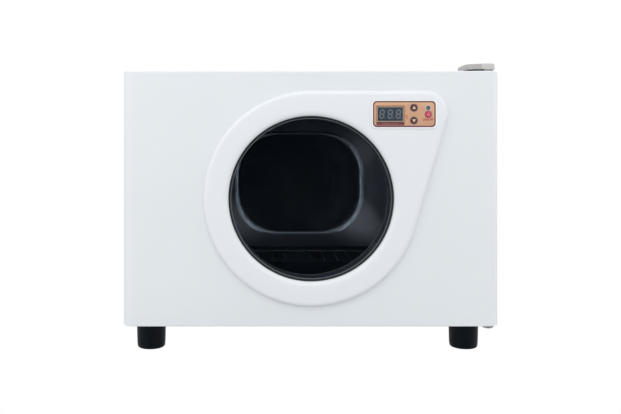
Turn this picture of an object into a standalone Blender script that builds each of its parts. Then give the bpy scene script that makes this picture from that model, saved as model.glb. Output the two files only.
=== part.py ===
"""Countertop hot towel cabinet with a round window, as an assembly of separate pieces.

Metres, +Z up. The front faces -Y. The origin is on the floor, under the centre of the overall box.
Door pieces are modelled from DOOR_ORIGIN, the centre of the door's face, with y running back into the
door. Cabinet pieces are modelled from BODY_ORIGIN, the centre of the cabinet's front edge.
"""

import math

import bmesh
import bpy
from mathutils import Vector

MM = 0.001
GAP = 0.3 * MM  # kept between neighbouring pieces
QUARTER = math.pi / 2

# Driving dimensions
WIDTH = 457 * MM
DEPTH = 306 * MM  # button faces to power inlet
DOOR_HEIGHT = 309 * MM
DOOR_BOTTOM = 43 * MM  # height of the door's lower edge above the floor
DOOR_THICK = 42 * MM
DOOR_CORNER = 14 * MM  # bend radius of the skin's two upright front edges
SHEET = 0.8 * MM
FRONT_REACH = 6.4 * MM  # from the door's face to the button faces
INLET_REACH = 3 * MM  # from the back panel to the inlet's flange face
GASKET_THICK = 8 * MM
BODY_LIP = 1.3 * MM  # the cabinet stands this far above and below the door
BODY_INSET = 1 * MM  # the cabinet is this much narrower than the door on each side

FACE_Y = -DEPTH / 2 + FRONT_REACH
DOOR_MID_Z = DOOR_BOTTOM + DOOR_HEIGHT / 2
DOOR_ORIGIN = Vector((0, FACE_Y, DOOR_MID_Z))
BODY_Y = FACE_Y + DOOR_THICK + GASKET_THICK + 2 * GAP
BACK_Y = DEPTH / 2 - INLET_REACH
BODY_ORIGIN = Vector((0, BODY_Y, DOOR_MID_Z))
BODY_DEPTH = BACK_Y - BODY_Y
BODY_HALF_X = WIDTH / 2 - BODY_INSET
BODY_HALF_Z = DOOR_HEIGHT / 2 + BODY_LIP
CASING_CORNER = 4 * MM
INSIDE_X = BODY_HALF_X - SHEET - GAP  # room inside the casing
INSIDE_Z = BODY_HALF_Z - SHEET - GAP

# Window and its teardrop surround
WINDOW_R = 100 * MM
SURROUND_R = 130 * MM
SURROUND_RISE = 5 * MM
SURROUND_EDGE = 5.5 * MM  # width of the rounded outer edge
CORNER_R = 27 * MM
CORNER_X = 138 * MM
LIP_WIDE = 7 * MM
LIP_DEEP = 3.8 * MM
LIP_BACK = 1 * MM
SEAT_R = WINDOW_R + 3.8 * MM  # bore behind the lip, which holds the seal
SLEEVE_R = WINDOW_R + 6 * MM
SLEEVE_BACK = 12 * MM
GLASS_R = 101.6 * MM
GLASS_FRONT = 2.6 * MM
GLASS_THICK = 4 * MM
SEAL_R = 97.8 * MM
TUNNEL_FRONT = 8.6 * MM
TUNNEL_R = 99 * MM
LINER_FRONT = 39 * MM
INNER_GLASS_R = 102 * MM
WINDOW_STEPS = 60

# Control panel, from its own centre
PANEL_X = 111.4 * MM
PANEL_Z = 102 * MM
PANEL_ORIGIN = DOOR_ORIGIN + Vector((PANEL_X, 0, PANEL_Z))
FRAME_SIZE = (79 * MM, 35 * MM)
FRAME_CORNER = 6.4 * MM
FRAME_FRONT = -5.8 * MM
OVERLAY_SIZE = (75.4 * MM, 31.2 * MM)
OVERLAY_CORNER = 4.8 * MM
OVERLAY_FRONT = -5.4 * MM
OVERLAY_BACK = -3.9 * MM
RECESS_FLOOR = OVERLAY_BACK + GAP
PANEL_OPENING = (72.5 * MM, 27.6 * MM)
DISPLAY_X = -16.7 * MM
DISPLAY_SIZE = (32.4 * MM, 18.6 * MM)
DISPLAY_FRONT = -4.9 * MM
BUTTONS = {  # name: (x, z, cap radius)
    "up_button": (11.5 * MM, 7.7 * MM, 3.9 * MM),
    "down_button": (11.5 * MM, -7.7 * MM, 3.9 * MM),
    "power_button": (28.8 * MM, -0.3 * MM, 3.55 * MM),
}
BUTTON_FLANGE = 1.1 * MM
BUTTON_BACK = -2 * MM
STATUS_LED = (28.8 * MM, 7.6 * MM, 2.5 * MM)
BOARD_FRONT = 3.1 * MM
BOARD_THICK = 1.6 * MM
BOARD_SIZE = (76 * MM, 32 * MM)
BOARD_PLUG = (31 * MM, 9 * MM)  # where the cable's plug stands on the board

# Cavity, from BODY_ORIGIN: half width, half height, corner radius
CAVITY_FRONT = (165 * MM, 115 * MM, 14 * MM)
CAVITY_REAR = (157 * MM, 112 * MM, 24 * MM)
CAVITY_BACK = (91.5 * MM, 75.6 * MM, 70 * MM)
CAVITY_FLOOR = -112 * MM
CAVITY_BACK_Z = 3.4 * MM
CAVITY_WALL = 1 * MM
LINER_Y = 1.3 * MM
CAVITY_STRAIGHT = 164 * MM  # depth at which the back's rounding begins
CAVITY_DEEP = 224 * MM
BACK_BEND_R = 25 * MM  # the bend round the flat back, and how far it tilts the wall
BACK_BEND = math.radians(26)
CAVITY_FLANGE = 11 * MM
FLANGE_CORNER = 14 * MM
MOUTH_MARGIN = 4 * MM  # the front frame's opening is this much wider than the cavity's mouth
MOUTH_CORNER = 8 * MM

# Insulation, heater and mains board: sizes are width, depth and height
DOOR_WOOL_SIZE = (410 * MM, 22 * MM, 276 * MM)
DOOR_WOOL_Y = 25 * MM
BODY_WOOL_SIZE = (350 * MM, 220 * MM, 248 * MM)
BODY_WOOL_PLACE = (0, 125 * MM, 2 * MM)
HEATER_SIZE = (230 * MM, 120 * MM, 1.5 * MM)
HEATER_Y = 85 * MM
POWER_BOARD_SIZE = (BOARD_THICK, 95 * MM, 80 * MM)
POWER_BOARD_PLACE = (200 * MM, 120 * MM, -20 * MM)

# Back panel
VENT_SIZE = (44 * MM, 6 * MM, 3 * MM)
VENT_PLACE = (170 * MM, -20 * MM)  # x and z of the lowest slot
VENT_PITCH = 9 * MM
VENTS = 8
INLET_FLANGE = (50 * MM, 23 * MM)
INLET_BODY = (27 * MM, 18 * MM, 20 * MM)
INLET_PLACE = (170 * MM, -112 * MM)
SOCKET_SIZE = (24 * MM, 16.5 * MM)
SOCKET_DEEP = 16 * MM

# Hinge: the pivot axis, and from it the outlines of the brackets and of the cover
PIVOT = Vector((219 * MM, FACE_Y + 20 * MM, 0))
PIN_R = 4 * MM
PIN_BORE = 2.8 * MM
HARNESS_R = 1.2 * MM
BRACKET_THICK = 2.5 * MM
NOSE_HALF = 7.3 * MM
NOSE_FRONT = 8.5 * MM
NOSE_CORNER = 3.6 * MM
HEEL_LEFT = -21.5 * MM
HEEL_FRONT = 44 * MM
HEEL_CORNER = 6 * MM
TOP_REAR = 66 * MM
BOTTOM_REAR = 84 * MM
COVER_WALL = 1.2 * MM
COVER_RISE = 9 * MM
COVER_CROWN = 0.03  # the cover's top rises this steeply to the rear
COVER_DRAFT = 0.3 * MM
COVER_EDGE = 2.5 * MM
COVER_CIRCLES = [  # x, y and radius, anticlockwise: blunt nose, rear, and a bulge to the left
    (-5.8 * MM, -4.9 * MM, 3.6 * MM),
    (3.7 * MM, -4.9 * MM, 3.6 * MM),
    (1.3 * MM, 60 * MM, 6 * MM),
    (-17 * MM, 60 * MM, 6 * MM),
    (-12.5 * MM, 12 * MM, 16 * MM),
]
BUSH_R = 5.2 * MM
BUSH_FLANGE_R = 6.8 * MM

# Feet
FOOT_X = 203 * MM
FOOT_FRONT_Y = -76 * MM
FOOT_REAR_Y = 128 * MM
FOOT_TOP_R = 19.6 * MM
FOOT_BASE_R = 17.8 * MM
FOOT_EDGE = 3 * MM
FOOT_WELL_R = 6 * MM
FOOT_WELL_DEEP = 16 * MM
SCREW_R = 2 * MM
SCREW_HOLE_R = 2.4 * MM
WIRE_HOLE_R = 3.2 * MM
BASE_Z = DOOR_BOTTOM - BODY_LIP
BRACKET_BASE_Z = BASE_Z - GAP - BRACKET_THICK
FOOT_HEIGHT = BRACKET_BASE_Z - GAP
TOP_Z = DOOR_MID_Z + BODY_HALF_Z

# Tray
TRAY_FRONT_Y = FACE_Y + 75 * MM
TRAY_SIZE = (256 * MM, 134 * MM, 25 * MM)
TRAY_Z = DOOR_MID_Z + CAVITY_FLOOR + GAP
TRAY_TAPER = 2 * MM
RACK_BAR = 2.6 * MM
RACK_SIZE = (234 * MM, 118 * MM)
RACK_DECK = 19 * MM  # the deck's middle above the tray's underside
RACK_GAPS = 13


def clear_scene():
    for old in list(bpy.data.objects):
        bpy.data.objects.remove(old)


def new_collection(name):
    made = bpy.data.collections.new(name)
    bpy.context.scene.collection.children.link(made)
    return made


def new_material(name, colour, roughness, metallic=0.0, alpha=1.0):
    made = bpy.data.materials.new(name)
    made.use_nodes = True
    shader = made.node_tree.nodes["Principled BSDF"]
    shader.inputs["Base Color"].default_value = (*colour, 1)
    shader.inputs["Roughness"].default_value = roughness
    shader.inputs["Metallic"].default_value = metallic
    shader.inputs["Alpha"].default_value = alpha
    return made


clear_scene()
PARTS = new_collection("hot_towel_cabinet")
CUTTERS = new_collection("cutters")
WHITE_PAINT = new_material("white_paint", (0.77, 0.79, 0.81), 0.38)
WHITE_PLASTIC = new_material("white_plastic", (0.80, 0.81, 0.83), 0.33)
GREY_PLASTIC = new_material("grey_plastic", (0.56, 0.55, 0.53), 0.45)
DARK_PLASTIC = new_material("dark_plastic", (0.03, 0.03, 0.035), 0.4)
BLACK_RUBBER = new_material("black_rubber", (0.012, 0.013, 0.016), 0.6)
GASKET_RUBBER = new_material("gasket_rubber", (0.62, 0.63, 0.64), 0.55)
TINTED_GLASS = new_material("tinted_glass", (0.01, 0.012, 0.015), 0.04, alpha=0.6)
CLEAR_GLASS = new_material("clear_glass", (0.8, 0.85, 0.85), 0.03, alpha=0.15)
COPPER_FILM = new_material("copper_film", (0.62, 0.36, 0.21), 0.35)
MAROON = new_material("maroon_plastic", (0.09, 0.02, 0.025), 0.35)
RED = new_material("red_plastic", (0.6, 0.04, 0.08), 0.3)
LED_LENS = new_material("led_lens", (0.09, 0.12, 0.15), 0.2)
DISPLAY_FACE = new_material("display_face", (0.035, 0.05, 0.07), 0.25)
ALUMINIUM = new_material("aluminium", (0.7, 0.7, 0.7), 0.35, 1.0)
ZINC_STEEL = new_material("zinc_steel", (0.6, 0.61, 0.62), 0.35, 1.0)
CHROME = new_material("chrome", (0.8, 0.8, 0.8), 0.12, 1.0)
WOOL = new_material("insulation_wool", (0.7, 0.66, 0.5), 0.95)
SILICONE = new_material("silicone", (0.5, 0.12, 0.05), 0.6)
BOARD_GREEN = new_material("board_green", (0.02, 0.16, 0.07), 0.5)


def empty(name, location):
    made = bpy.data.objects.new(name, None)
    made.location = location
    PARTS.objects.link(made)
    return made


DOOR_AXIS = empty("door_axis", PIVOT)
TRAY_AXIS = empty("tray_axis", (0, TRAY_FRONT_Y, TRAY_Z))


def attach(obj, parent):
    """Parents obj, which stays where it is. The parents here are unturned empties."""
    obj.location -= parent.location
    obj.parent = parent


def add(name, mesh, material, location=(0, 0, 0), parent=None):
    """A part made from a mesh. With no material it is a cutter or a helper."""
    obj = bpy.data.objects.new(name, mesh)
    obj.location = location
    if material is None:
        CUTTERS.objects.link(obj)
        obj.hide_render = True
        obj.display_type = "WIRE"
        return obj
    mesh.materials.append(material)
    PARTS.objects.link(obj)
    if parent is not None:
        attach(obj, parent)
    return obj


def finish_mesh(bm, name):
    mesh = bpy.data.meshes.new(name)
    bm.to_mesh(mesh)
    bm.free()
    return mesh


def box(name, size, material, location=(0, 0, 0), parent=None):
    bm = bmesh.new()
    bmesh.ops.create_cube(bm, size=1)
    bmesh.ops.scale(bm, vec=size, verts=bm.verts)
    return add(name, finish_mesh(bm, name), material, location, parent)


def rod(name, radius, length, material, location=(0, 0, 0), axis="Z", segments=20, parent=None):
    """A cylinder centred on location."""
    bm = bmesh.new()
    bmesh.ops.create_cone(
        bm, cap_ends=True, segments=segments, radius1=radius, radius2=radius, depth=length
    )
    mesh = finish_mesh(bm, name)
    mesh.shade_smooth()
    mesh.set_sharp_from_angle(angle=math.radians(40))
    obj = add(name, mesh, material, location, parent)
    obj.rotation_euler = {"X": (0, QUARTER, 0), "Y": (-QUARTER, 0, 0), "Z": (0, 0, 0)}[axis]
    return obj


def turned(name, profile, material, location=(0, 0, 0), axis="Z", steps=16, parent=None):
    """A (radius, height) profile turned about axis, which runs down its outer side.

    The profile is a loop if it stays off the axis.
    """
    bm = bmesh.new()
    points = [bm.verts.new((radius, 0, height)) for radius, height in profile]
    pairs = list(zip(points, points[1:]))
    if min(radius for radius, _ in profile) > 0:
        pairs.append((points[-1], points[0]))
    for pair in pairs:
        bm.edges.new(pair)
    obj = add(name, finish_mesh(bm, name), material, location, parent)
    screw = obj.modifiers.new("turn", "SCREW")
    screw.steps = steps
    screw.render_steps = steps
    screw.use_merge_vertices = True
    screw.merge_threshold = 0.00001
    obj.rotation_euler = {"Y": (-QUARTER, 0, 0), "Z": (0, 0, 0)}[axis]
    return obj


def loft(name, rings, material, location=(0, 0, 0), parent=None, closed=False):
    """A skin through rings of equal point counts, its ends capped, or joined to each other if closed."""
    bm = bmesh.new()
    rows = [[bm.verts.new(point) for point in ring] for ring in rings]
    pairs = list(zip(rows, rows[1:]))
    if closed:
        pairs.append((rows[-1], rows[0]))
    else:
        bm.faces.new(rows[0])
        bm.faces.new(rows[-1])
    for near, far in pairs:
        for i in range(len(near)):
            bm.faces.new((near[i - 1], near[i], far[i], far[i - 1]))
    bmesh.ops.recalc_face_normals(bm, faces=bm.faces)
    mesh = finish_mesh(bm, name)
    mesh.shade_smooth()
    mesh.set_sharp_from_angle(angle=math.radians(35))
    return add(name, mesh, material, location, parent)


def join(target, *others):
    for other in others:
        boolean(target, other, "UNION")
    return target


def cut(target, *others):
    for other in others:
        boolean(target, other, "DIFFERENCE")
    return target


def boolean(target, other, operation):
    modifier = target.modifiers.new(other.name, "BOOLEAN")
    modifier.operation = operation
    modifier.object = other


def bevel(obj, width, segments=2):
    modifier = obj.modifiers.new("edges", "BEVEL")
    modifier.width = width
    modifier.segments = segments
    modifier.limit_method = "ANGLE"
    return obj


def arc(centre, radius, start, end, steps):
    """Points round part of a circle, both ends included."""
    turns = [start + (end - start) * i / steps for i in range(steps + 1)]
    return [(centre[0] + radius * math.cos(t), centre[1] + radius * math.sin(t)) for t in turns]


def rounded(half_a, half_b, corner, centre=(0, 0), steps=4):
    """A rounded rectangle, anticlockwise, as four corner arcs."""
    points = []
    for quarter, (a, b) in enumerate(((1, 1), (-1, 1), (-1, -1), (1, -1))):
        middle = (centre[0] + a * (half_a - corner), centre[1] + b * (half_b - corner))
        points += arc(middle, corner, quarter * QUARTER, (quarter + 1) * QUARTER, steps)
    return points


def hull(circles, inset=0.0, step=math.radians(15)):
    """The outline round (x, y, radius) circles given anticlockwise, each shrunk by inset."""
    normals = []
    for (x0, y0, r0), (x1, y1, r1) in zip(circles, circles[1:] + circles[:1]):
        away = math.hypot(x1 - x0, y1 - y0)
        along = ((x1 - x0) / away, (y1 - y0) / away)
        lean = (r0 - r1) / away
        across = math.sqrt(1 - lean * lean)
        normals.append(
            math.atan2(lean * along[1] - across * along[0], lean * along[0] + across * along[1])
        )
    points = []
    for i, (x, y, radius) in enumerate(circles):
        start = normals[i - 1]
        sweep = (normals[i] - start) % (2 * math.pi)
        steps = max(1, math.ceil(sweep / step))
        points += arc((x, y), radius - inset, start, start + sweep, steps)
    return points


def on_xz(points, y):
    return [(a, y, b) for a, b in points]


def on_xy(points, z):
    return [(a, b, z) for a, b in points]


def on_yz(points, x):
    return [(x, a, b) for a, b in points]


def plate(name, outline, thickness, material, location=(0, 0, 0), parent=None):
    """A flat outline in XY, thickened upwards, as a mesh that can be cut."""
    curve = bpy.data.curves.new(name, "CURVE")
    curve.dimensions = "2D"
    curve.fill_mode = "BOTH"
    curve.extrude = thickness / 2
    spline = curve.splines.new("POLY")
    spline.points.add(len(outline) - 1)
    for point, (x, y) in zip(spline.points, outline):
        point.co = (x, y, 0, 1)
    spline.use_cyclic_u = True
    drawn = bpy.data.objects.new(name + "_curve", curve)
    bpy.context.scene.collection.objects.link(drawn)
    graph = bpy.context.evaluated_depsgraph_get()
    mesh = bpy.data.meshes.new_from_object(drawn.evaluated_get(graph))
    bpy.data.objects.remove(drawn)
    bm = bmesh.new()
    bm.from_mesh(mesh)
    bmesh.ops.remove_doubles(bm, verts=bm.verts, dist=0.00001)
    bmesh.ops.translate(bm, verts=bm.verts, vec=(0, 0, thickness / 2))
    bmesh.ops.recalc_face_normals(bm, faces=bm.faces)
    bm.to_mesh(mesh)
    bm.free()
    return add(name, mesh, material, location, parent)


def sheet_wrap(name, path, along, thickness, material, location=(0, 0, 0), parent=None):
    """A bent sheet: an open path swept by the vector along, thickened to the right of its way round."""
    bm = bmesh.new()
    points = [bm.verts.new(point) for point in path]
    edges = [bm.edges.new(pair) for pair in zip(points, points[1:])]
    swept = bmesh.ops.extrude_edge_only(bm, edges=edges)["geom"]
    moved = [vert for vert in swept if isinstance(vert, bmesh.types.BMVert)]
    bmesh.ops.translate(bm, vec=along, verts=moved)
    mesh = finish_mesh(bm, name)
    mesh.shade_smooth()
    mesh.set_sharp_from_angle(angle=math.radians(35))
    obj = add(name, mesh, material, location, parent)
    solidify = obj.modifiers.new("sheet", "SOLIDIFY")
    solidify.thickness = thickness
    solidify.offset = -1
    solidify.use_even_offset = True
    return obj


def smooth_path(stops, count):
    """count points along a Catmull-Rom curve through stops."""
    line = [Vector(stop) * MM for stop in stops]
    line = [2 * line[0] - line[1], *line, 2 * line[-1] - line[-2]]
    points = []
    for i in range(count):
        span = i * (len(line) - 3) / (count - 1)
        k = min(int(span), len(line) - 4)
        t = span - k
        a, b, c, d = line[k : k + 4]
        points.append(
            0.5 * (2 * b + (c - a) * t + (2 * a - 5 * b + 4 * c - d) * t**2
                   + (3 * b - a - 3 * c + d) * t**3)
        )
    return points


def cable(name, stops, count, radius, material, parent=None):
    curve = bpy.data.curves.new(name, "CURVE")
    curve.dimensions = "3D"
    curve.bevel_depth = radius
    curve.bevel_resolution = 2
    curve.use_fill_caps = True
    spline = curve.splines.new("POLY")
    spline.points.add(count - 1)
    for point, place in zip(spline.points, smooth_path(stops, count)):
        point.co = (*place, 1)
    curve.materials.append(material)
    obj = bpy.data.objects.new(name, curve)
    PARTS.objects.link(obj)
    if parent is not None:
        attach(obj, parent)
    return obj


def at_door(x, y, z):
    return DOOR_ORIGIN + Vector((x, y, z))


def at_panel(x, y, z):
    return PANEL_ORIGIN + Vector((x, y, z))


def at_body(x, y, z):
    return BODY_ORIGIN + Vector((x, y, z))


def door_outline(inset, back, steps=6):
    """Plan of the door's skin, from back left round the rounded front corners to back right."""
    half = WIDTH / 2 - inset
    turn = DOOR_CORNER - inset
    front = inset + turn
    left = arc((-half + turn, front), turn, 2 * QUARTER, 3 * QUARTER, steps)
    right = arc((half - turn, front), turn, 3 * QUARTER, 4 * QUARTER, steps)
    return [(-half, back), *left, *right, (half, back)]


def make_door_shell():
    cap_thick = 2 * MM
    half_z = DOOR_HEIGHT / 2 - cap_thick - GAP
    skin = sheet_wrap(
        "door_skin",
        on_xy(door_outline(0, DOOR_THICK), half_z),
        (0, 0, -2 * half_z),
        SHEET,
        WHITE_PAINT,
        DOOR_ORIGIN,
        DOOR_AXIS,
    )
    hole_r = SLEEVE_R + 0.8 * MM
    window_hole = rod("window_hole", hole_r, 6 * MM, None, DOOR_ORIGIN, "Y", WINDOW_STEPS)
    hole_size = (BOARD_SIZE[0] + 5 * MM, 6 * MM, BOARD_SIZE[1] + 5 * MM)
    board_hole = box("board_hole", hole_size, None, PANEL_ORIGIN)
    pull_y, pull_half = 25.6 * MM, (10 * MM, 45 * MM)
    pull_hole = loft(
        "pull_hole",
        [on_yz(rounded(*pull_half, 6 * MM, (pull_y, 0)), x) for x in (-3 * MM, 3 * MM)],
        None,
        at_door(-WIDTH / 2, 0, 0),
    )
    cut(skin, window_hole, board_hole, pull_hole)
    make_finger_pull(pull_y, pull_half)
    for name, side in (("door_top_cap", 1), ("door_bottom_cap", -1)):
        make_door_cap(name, side, cap_thick)
    plug_half = WIDTH / 2 - SHEET - GAP
    liner = box(
        "door_liner",
        (2 * plug_half, DOOR_THICK - LINER_FRONT, 2 * half_z),
        WHITE_PLASTIC,
        at_door(0, (DOOR_THICK + LINER_FRONT) / 2, 0),
        DOOR_AXIS,
    )
    hole_r = INNER_GLASS_R + 0.6 * MM
    cut(liner, rod("liner_hole", hole_r, 9 * MM, None, at_door(0, LINER_FRONT, 0), "Y", WINDOW_STEPS))
    bevel(liner, 0.6 * MM, 1)


def make_finger_pull(pull_y, pull_half):
    """A moulded cup behind the opening in the skin's left return."""
    deep, wall, flange = 13 * MM, 1.6 * MM, 2.5 * MM

    def ring(grow, x):
        half = [side + grow for side in pull_half]
        return on_yz(rounded(*half, 6 * MM + grow, (pull_y, 0)), x)

    rings = [
        ring(-wall, deep),
        ring(-0.2 * MM, 0),
        ring(flange, 0),
        ring(flange, wall),
        ring(wall, wall),
        ring(0, deep + wall),
    ]
    loft("finger_pull", rings, WHITE_PLASTIC, at_door(-WIDTH / 2 + SHEET + GAP, 0, 0), DOOR_AXIS)


def make_door_cap(name, side, thick):
    """End cap with a plug inside the skin and a thick pad that carries the pivot bush."""
    outer = door_outline(0, DOOR_THICK)
    inner = door_outline(SHEET + GAP, LINER_FRONT - GAP)
    hollow = door_outline(SHEET + GAP + 2 * MM, LINER_FRONT - GAP - 2 * MM)
    edge = side * DOOR_HEIGHT / 2
    face, plug_end = edge - side * thick, edge - side * 9 * MM
    rings = [
        on_xy(outer, edge),
        on_xy(outer, face),
        on_xy(inner, face),
        on_xy(inner, plug_end),
        on_xy(hollow, plug_end),
        on_xy(hollow, face),
    ]
    cap = loft(name, rings, WHITE_PLASTIC, DOOR_ORIGIN, DOOR_AXIS)
    pad_height = 7.5 * MM
    pad_left, pad_right = PIVOT.x - 12 * MM, WIDTH / 2 - SHEET - 1.5 * GAP
    pad_z = DOOR_MID_Z + edge - side * (thick + pad_height) / 2
    pad_place = ((pad_left + pad_right) / 2, PIVOT.y + 3 * MM, pad_z)
    pad = box(name + "_pad", (pad_right - pad_left, 22 * MM, pad_height), None, pad_place)
    bore = rod(name + "_bore", BUSH_R + GAP, 40 * MM, None, (PIVOT.x, PIVOT.y, DOOR_MID_Z + edge))
    join(cap, pad)
    cut(cap, bore)


def make_door_inside():
    place = at_door(0, DOOR_WOOL_Y, 0)
    wall = box("door_insulation", DOOR_WOOL_SIZE, WOOL, place, DOOR_AXIS)
    bore = rod("insulation_bore", SLEEVE_R + 2 * MM, 60 * MM, None, place, "Y", 48)
    corner_size = (200 * MM, 60 * MM, 160 * MM)
    corner = box("insulation_corner", corner_size, None, place + Vector((168 * MM, 0, 148 * MM)))
    cut(wall, bore, corner)
    outer = rounded(215 * MM, 145 * MM, 8 * MM)
    inner = rounded(201 * MM, 131 * MM, 3 * MM)
    rings = [on_xz(outer, 0), on_xz(outer, GASKET_THICK), on_xz(inner, GASKET_THICK), on_xz(inner, 0)]
    loft("door_gasket", rings, GASKET_RUBBER, at_door(0, DOOR_THICK + GAP, 0), DOOR_AXIS, True)


def surround_circles():
    corner_z = SURROUND_R - CORNER_R
    return [(0, 0, SURROUND_R), (CORNER_X, corner_z, CORNER_R)]


def make_surround():
    """The raised teardrop: a rounded outer edge, a rolled lip round the window, a recess for the panel."""
    step = math.radians(6)
    steps = 4
    rings = [on_xz(hull(surround_circles(), 0, step), -GAP)]
    for i in range(steps + 1):
        turn = QUARTER * i / steps
        inset = SURROUND_EDGE * (1 - math.cos(turn))
        rise = (SURROUND_RISE - 1 * MM) * math.sin(turn) + 1 * MM
        rings.append(on_xz(hull(surround_circles(), inset, step), -rise))
    surround = loft("window_surround", rings, WHITE_PLASTIC, DOOR_ORIGIN, DOOR_AXIS)
    sleeve = rod("surround_sleeve", SLEEVE_R, SLEEVE_BACK + 2 * MM, None,
                 at_door(0, SLEEVE_BACK / 2 - 1 * MM, 0), "Y", WINDOW_STEPS)
    rolled = [
        (WINDOW_R + LIP_WIDE * (1 - math.sin(QUARTER * i / steps)),
         -SURROUND_RISE + LIP_DEEP * (1 - math.cos(QUARTER * i / steps)))
        for i in range(steps + 1)
    ]
    front = -SURROUND_RISE - 2 * MM
    behind = SLEEVE_BACK + 2 * MM
    profile = [
        (0, front),
        (WINDOW_R + LIP_WIDE, front),
        *rolled,
        (WINDOW_R, LIP_BACK),
        (SEAT_R, LIP_BACK),
        (SEAT_R, behind),
        (0, behind),
    ]
    opening = turned("window_opening", profile[::-1], None, DOOR_ORIGIN, "Y", WINDOW_STEPS)
    recess_half = [size / 2 + GAP for size in FRAME_SIZE]
    outline = rounded(*recess_half, FRAME_CORNER)
    rings = [on_xz(outline, y) for y in (-9 * MM, RECESS_FLOOR)]
    recess = loft("panel_recess", rings, None, PANEL_ORIGIN)
    through = box("panel_through", (PANEL_OPENING[0], 30 * MM, PANEL_OPENING[1]), None, PANEL_ORIGIN)
    join(surround, sleeve)
    cut(surround, opening, recess, through)
    post_y = BOARD_FRONT - GAP - 2 * MM
    for i, (x, z) in enumerate(corners(BOARD_SIZE[0] / 2 - 2.4 * MM, BOARD_SIZE[1] / 2 - 0.6 * MM)):
        join(surround, rod(f"board_post_{i}", 1.8 * MM, 4 * MM, None, at_panel(x, post_y, z), "Y", 12))


def corners(half_a, half_b):
    return [(a * half_a, b * half_b) for a, b in ((-1, -1), (1, -1), (1, 1), (-1, 1))]


def make_window():
    lip, back = 1.2 * MM, GLASS_FRONT + GLASS_THICK + GAP
    front = GLASS_FRONT - GAP - lip + 0.2 * MM
    outer = SEAT_R - GAP
    profile = [
        (SEAL_R, back + lip),
        (outer, back + lip),
        (outer, front),
        (SEAL_R, front),
        (SEAL_R, GLASS_FRONT - GAP),
        (GLASS_R + GAP, GLASS_FRONT - GAP),
        (GLASS_R + GAP, back),
        (SEAL_R, back),
    ]
    turned("window_seal", profile, BLACK_RUBBER, DOOR_ORIGIN, "Y", WINDOW_STEPS, DOOR_AXIS)
    rod("outer_window_glass", GLASS_R, GLASS_THICK, TINTED_GLASS,
        at_door(0, GLASS_FRONT + GLASS_THICK / 2, 0), "Y", WINDOW_STEPS, DOOR_AXIS)
    inner_front = LINER_FRONT - GAP
    tunnel = [
        (TUNNEL_R, inner_front),
        (TUNNEL_R + 2.2 * MM, inner_front),
        (TUNNEL_R + 2.2 * MM, TUNNEL_FRONT + 2 * MM),
        (SEAT_R - GAP, TUNNEL_FRONT + 2 * MM),
        (SEAT_R - GAP, TUNNEL_FRONT),
        (TUNNEL_R, TUNNEL_FRONT),
    ]
    turned("window_tunnel", tunnel, DARK_PLASTIC, DOOR_ORIGIN, "Y", WINDOW_STEPS, DOOR_AXIS)
    inner_thick = 2.7 * MM
    rod("inner_window_glass", INNER_GLASS_R, inner_thick, CLEAR_GLASS,
        at_door(0, LINER_FRONT + inner_thick / 2, 0), "Y", WINDOW_STEPS, DOOR_AXIS)
    ring_front, ring_back = DOOR_THICK + GAP, DOOR_THICK + 2.5 * MM
    ring = [
        (97 * MM, ring_back - 1 * MM),
        (99 * MM, ring_back),
        (109 * MM, ring_back),
        (111 * MM, ring_front),
        (97 * MM, ring_front),
    ]
    turned("inner_window_ring", ring, WHITE_PLASTIC, DOOR_ORIGIN, "Y", WINDOW_STEPS, DOOR_AXIS)


def make_panel():
    half_outer = [size / 2 for size in FRAME_SIZE]
    half_inner = [size / 2 + GAP for size in OVERLAY_SIZE]
    outer = rounded(*half_outer, FRAME_CORNER)
    inner = rounded(*half_inner, OVERLAY_CORNER + GAP)
    rings = [
        on_xz(outer, OVERLAY_BACK),
        on_xz(outer, FRAME_FRONT),
        on_xz(inner, FRAME_FRONT),
        on_xz(inner, OVERLAY_BACK),
    ]
    loft("display_frame", rings, WHITE_PLASTIC, PANEL_ORIGIN, DOOR_AXIS, closed=True)
    half = [size / 2 for size in OVERLAY_SIZE]
    rings = [on_xz(rounded(*half, OVERLAY_CORNER), y) for y in (OVERLAY_FRONT, OVERLAY_BACK)]
    overlay = loft("control_overlay", rings, COPPER_FILM, PANEL_ORIGIN, DOOR_AXIS)
    hole_size = (DISPLAY_SIZE[0] + 2 * GAP, 9 * MM, DISPLAY_SIZE[1] + 2 * GAP)
    cut(overlay, box("display_hole", hole_size, None, at_panel(DISPLAY_X, OVERLAY_FRONT, 0)))
    for name, (x, z, radius) in [*BUTTONS.items(), ("status_led", STATUS_LED)]:
        place = at_panel(x, OVERLAY_FRONT, z)
        cut(overlay, rod(name + "_hole", radius + GAP, 9 * MM, None, place, "Y"))
    module_back = BOARD_FRONT - GAP
    module_size = (DISPLAY_SIZE[0], module_back - DISPLAY_FRONT, DISPLAY_SIZE[1])
    module_place = at_panel(DISPLAY_X, (module_back + DISPLAY_FRONT) / 2, 0)
    box("led_display", module_size, DISPLAY_FACE, module_place, DOOR_AXIS)
    x, z, radius = STATUS_LED
    dome = [
        (0, module_back),
        (radius, module_back),
        (radius, OVERLAY_FRONT),
        (radius * 0.7, OVERLAY_FRONT - 0.5 * MM),
        (0, OVERLAY_FRONT - 0.7 * MM),
    ]
    turned("status_led", dome, LED_LENS, at_panel(x, 0, z), "Y", 16, DOOR_AXIS)


def make_buttons():
    flange_front, flange_back = OVERLAY_BACK + GAP, OVERLAY_BACK + 1.3 * MM
    for name, (x, z, radius) in BUTTONS.items():
        wide = radius + BUTTON_FLANGE
        profile = [
            (0, BUTTON_BACK),
            (radius - 1 * MM, BUTTON_BACK),
            (radius - 1 * MM, flange_back),
            (wide, flange_back),
            (wide, flange_front),
            (radius, flange_front),
            (radius, -FRONT_REACH + 0.3 * MM),
            (radius - 0.3 * MM, -FRONT_REACH),
            (0, -FRONT_REACH),
        ]
        colour = RED if name == "power_button" else MAROON
        turned(name, profile, colour, at_panel(x, 0, z), "Y", 20, DOOR_AXIS)


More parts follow.
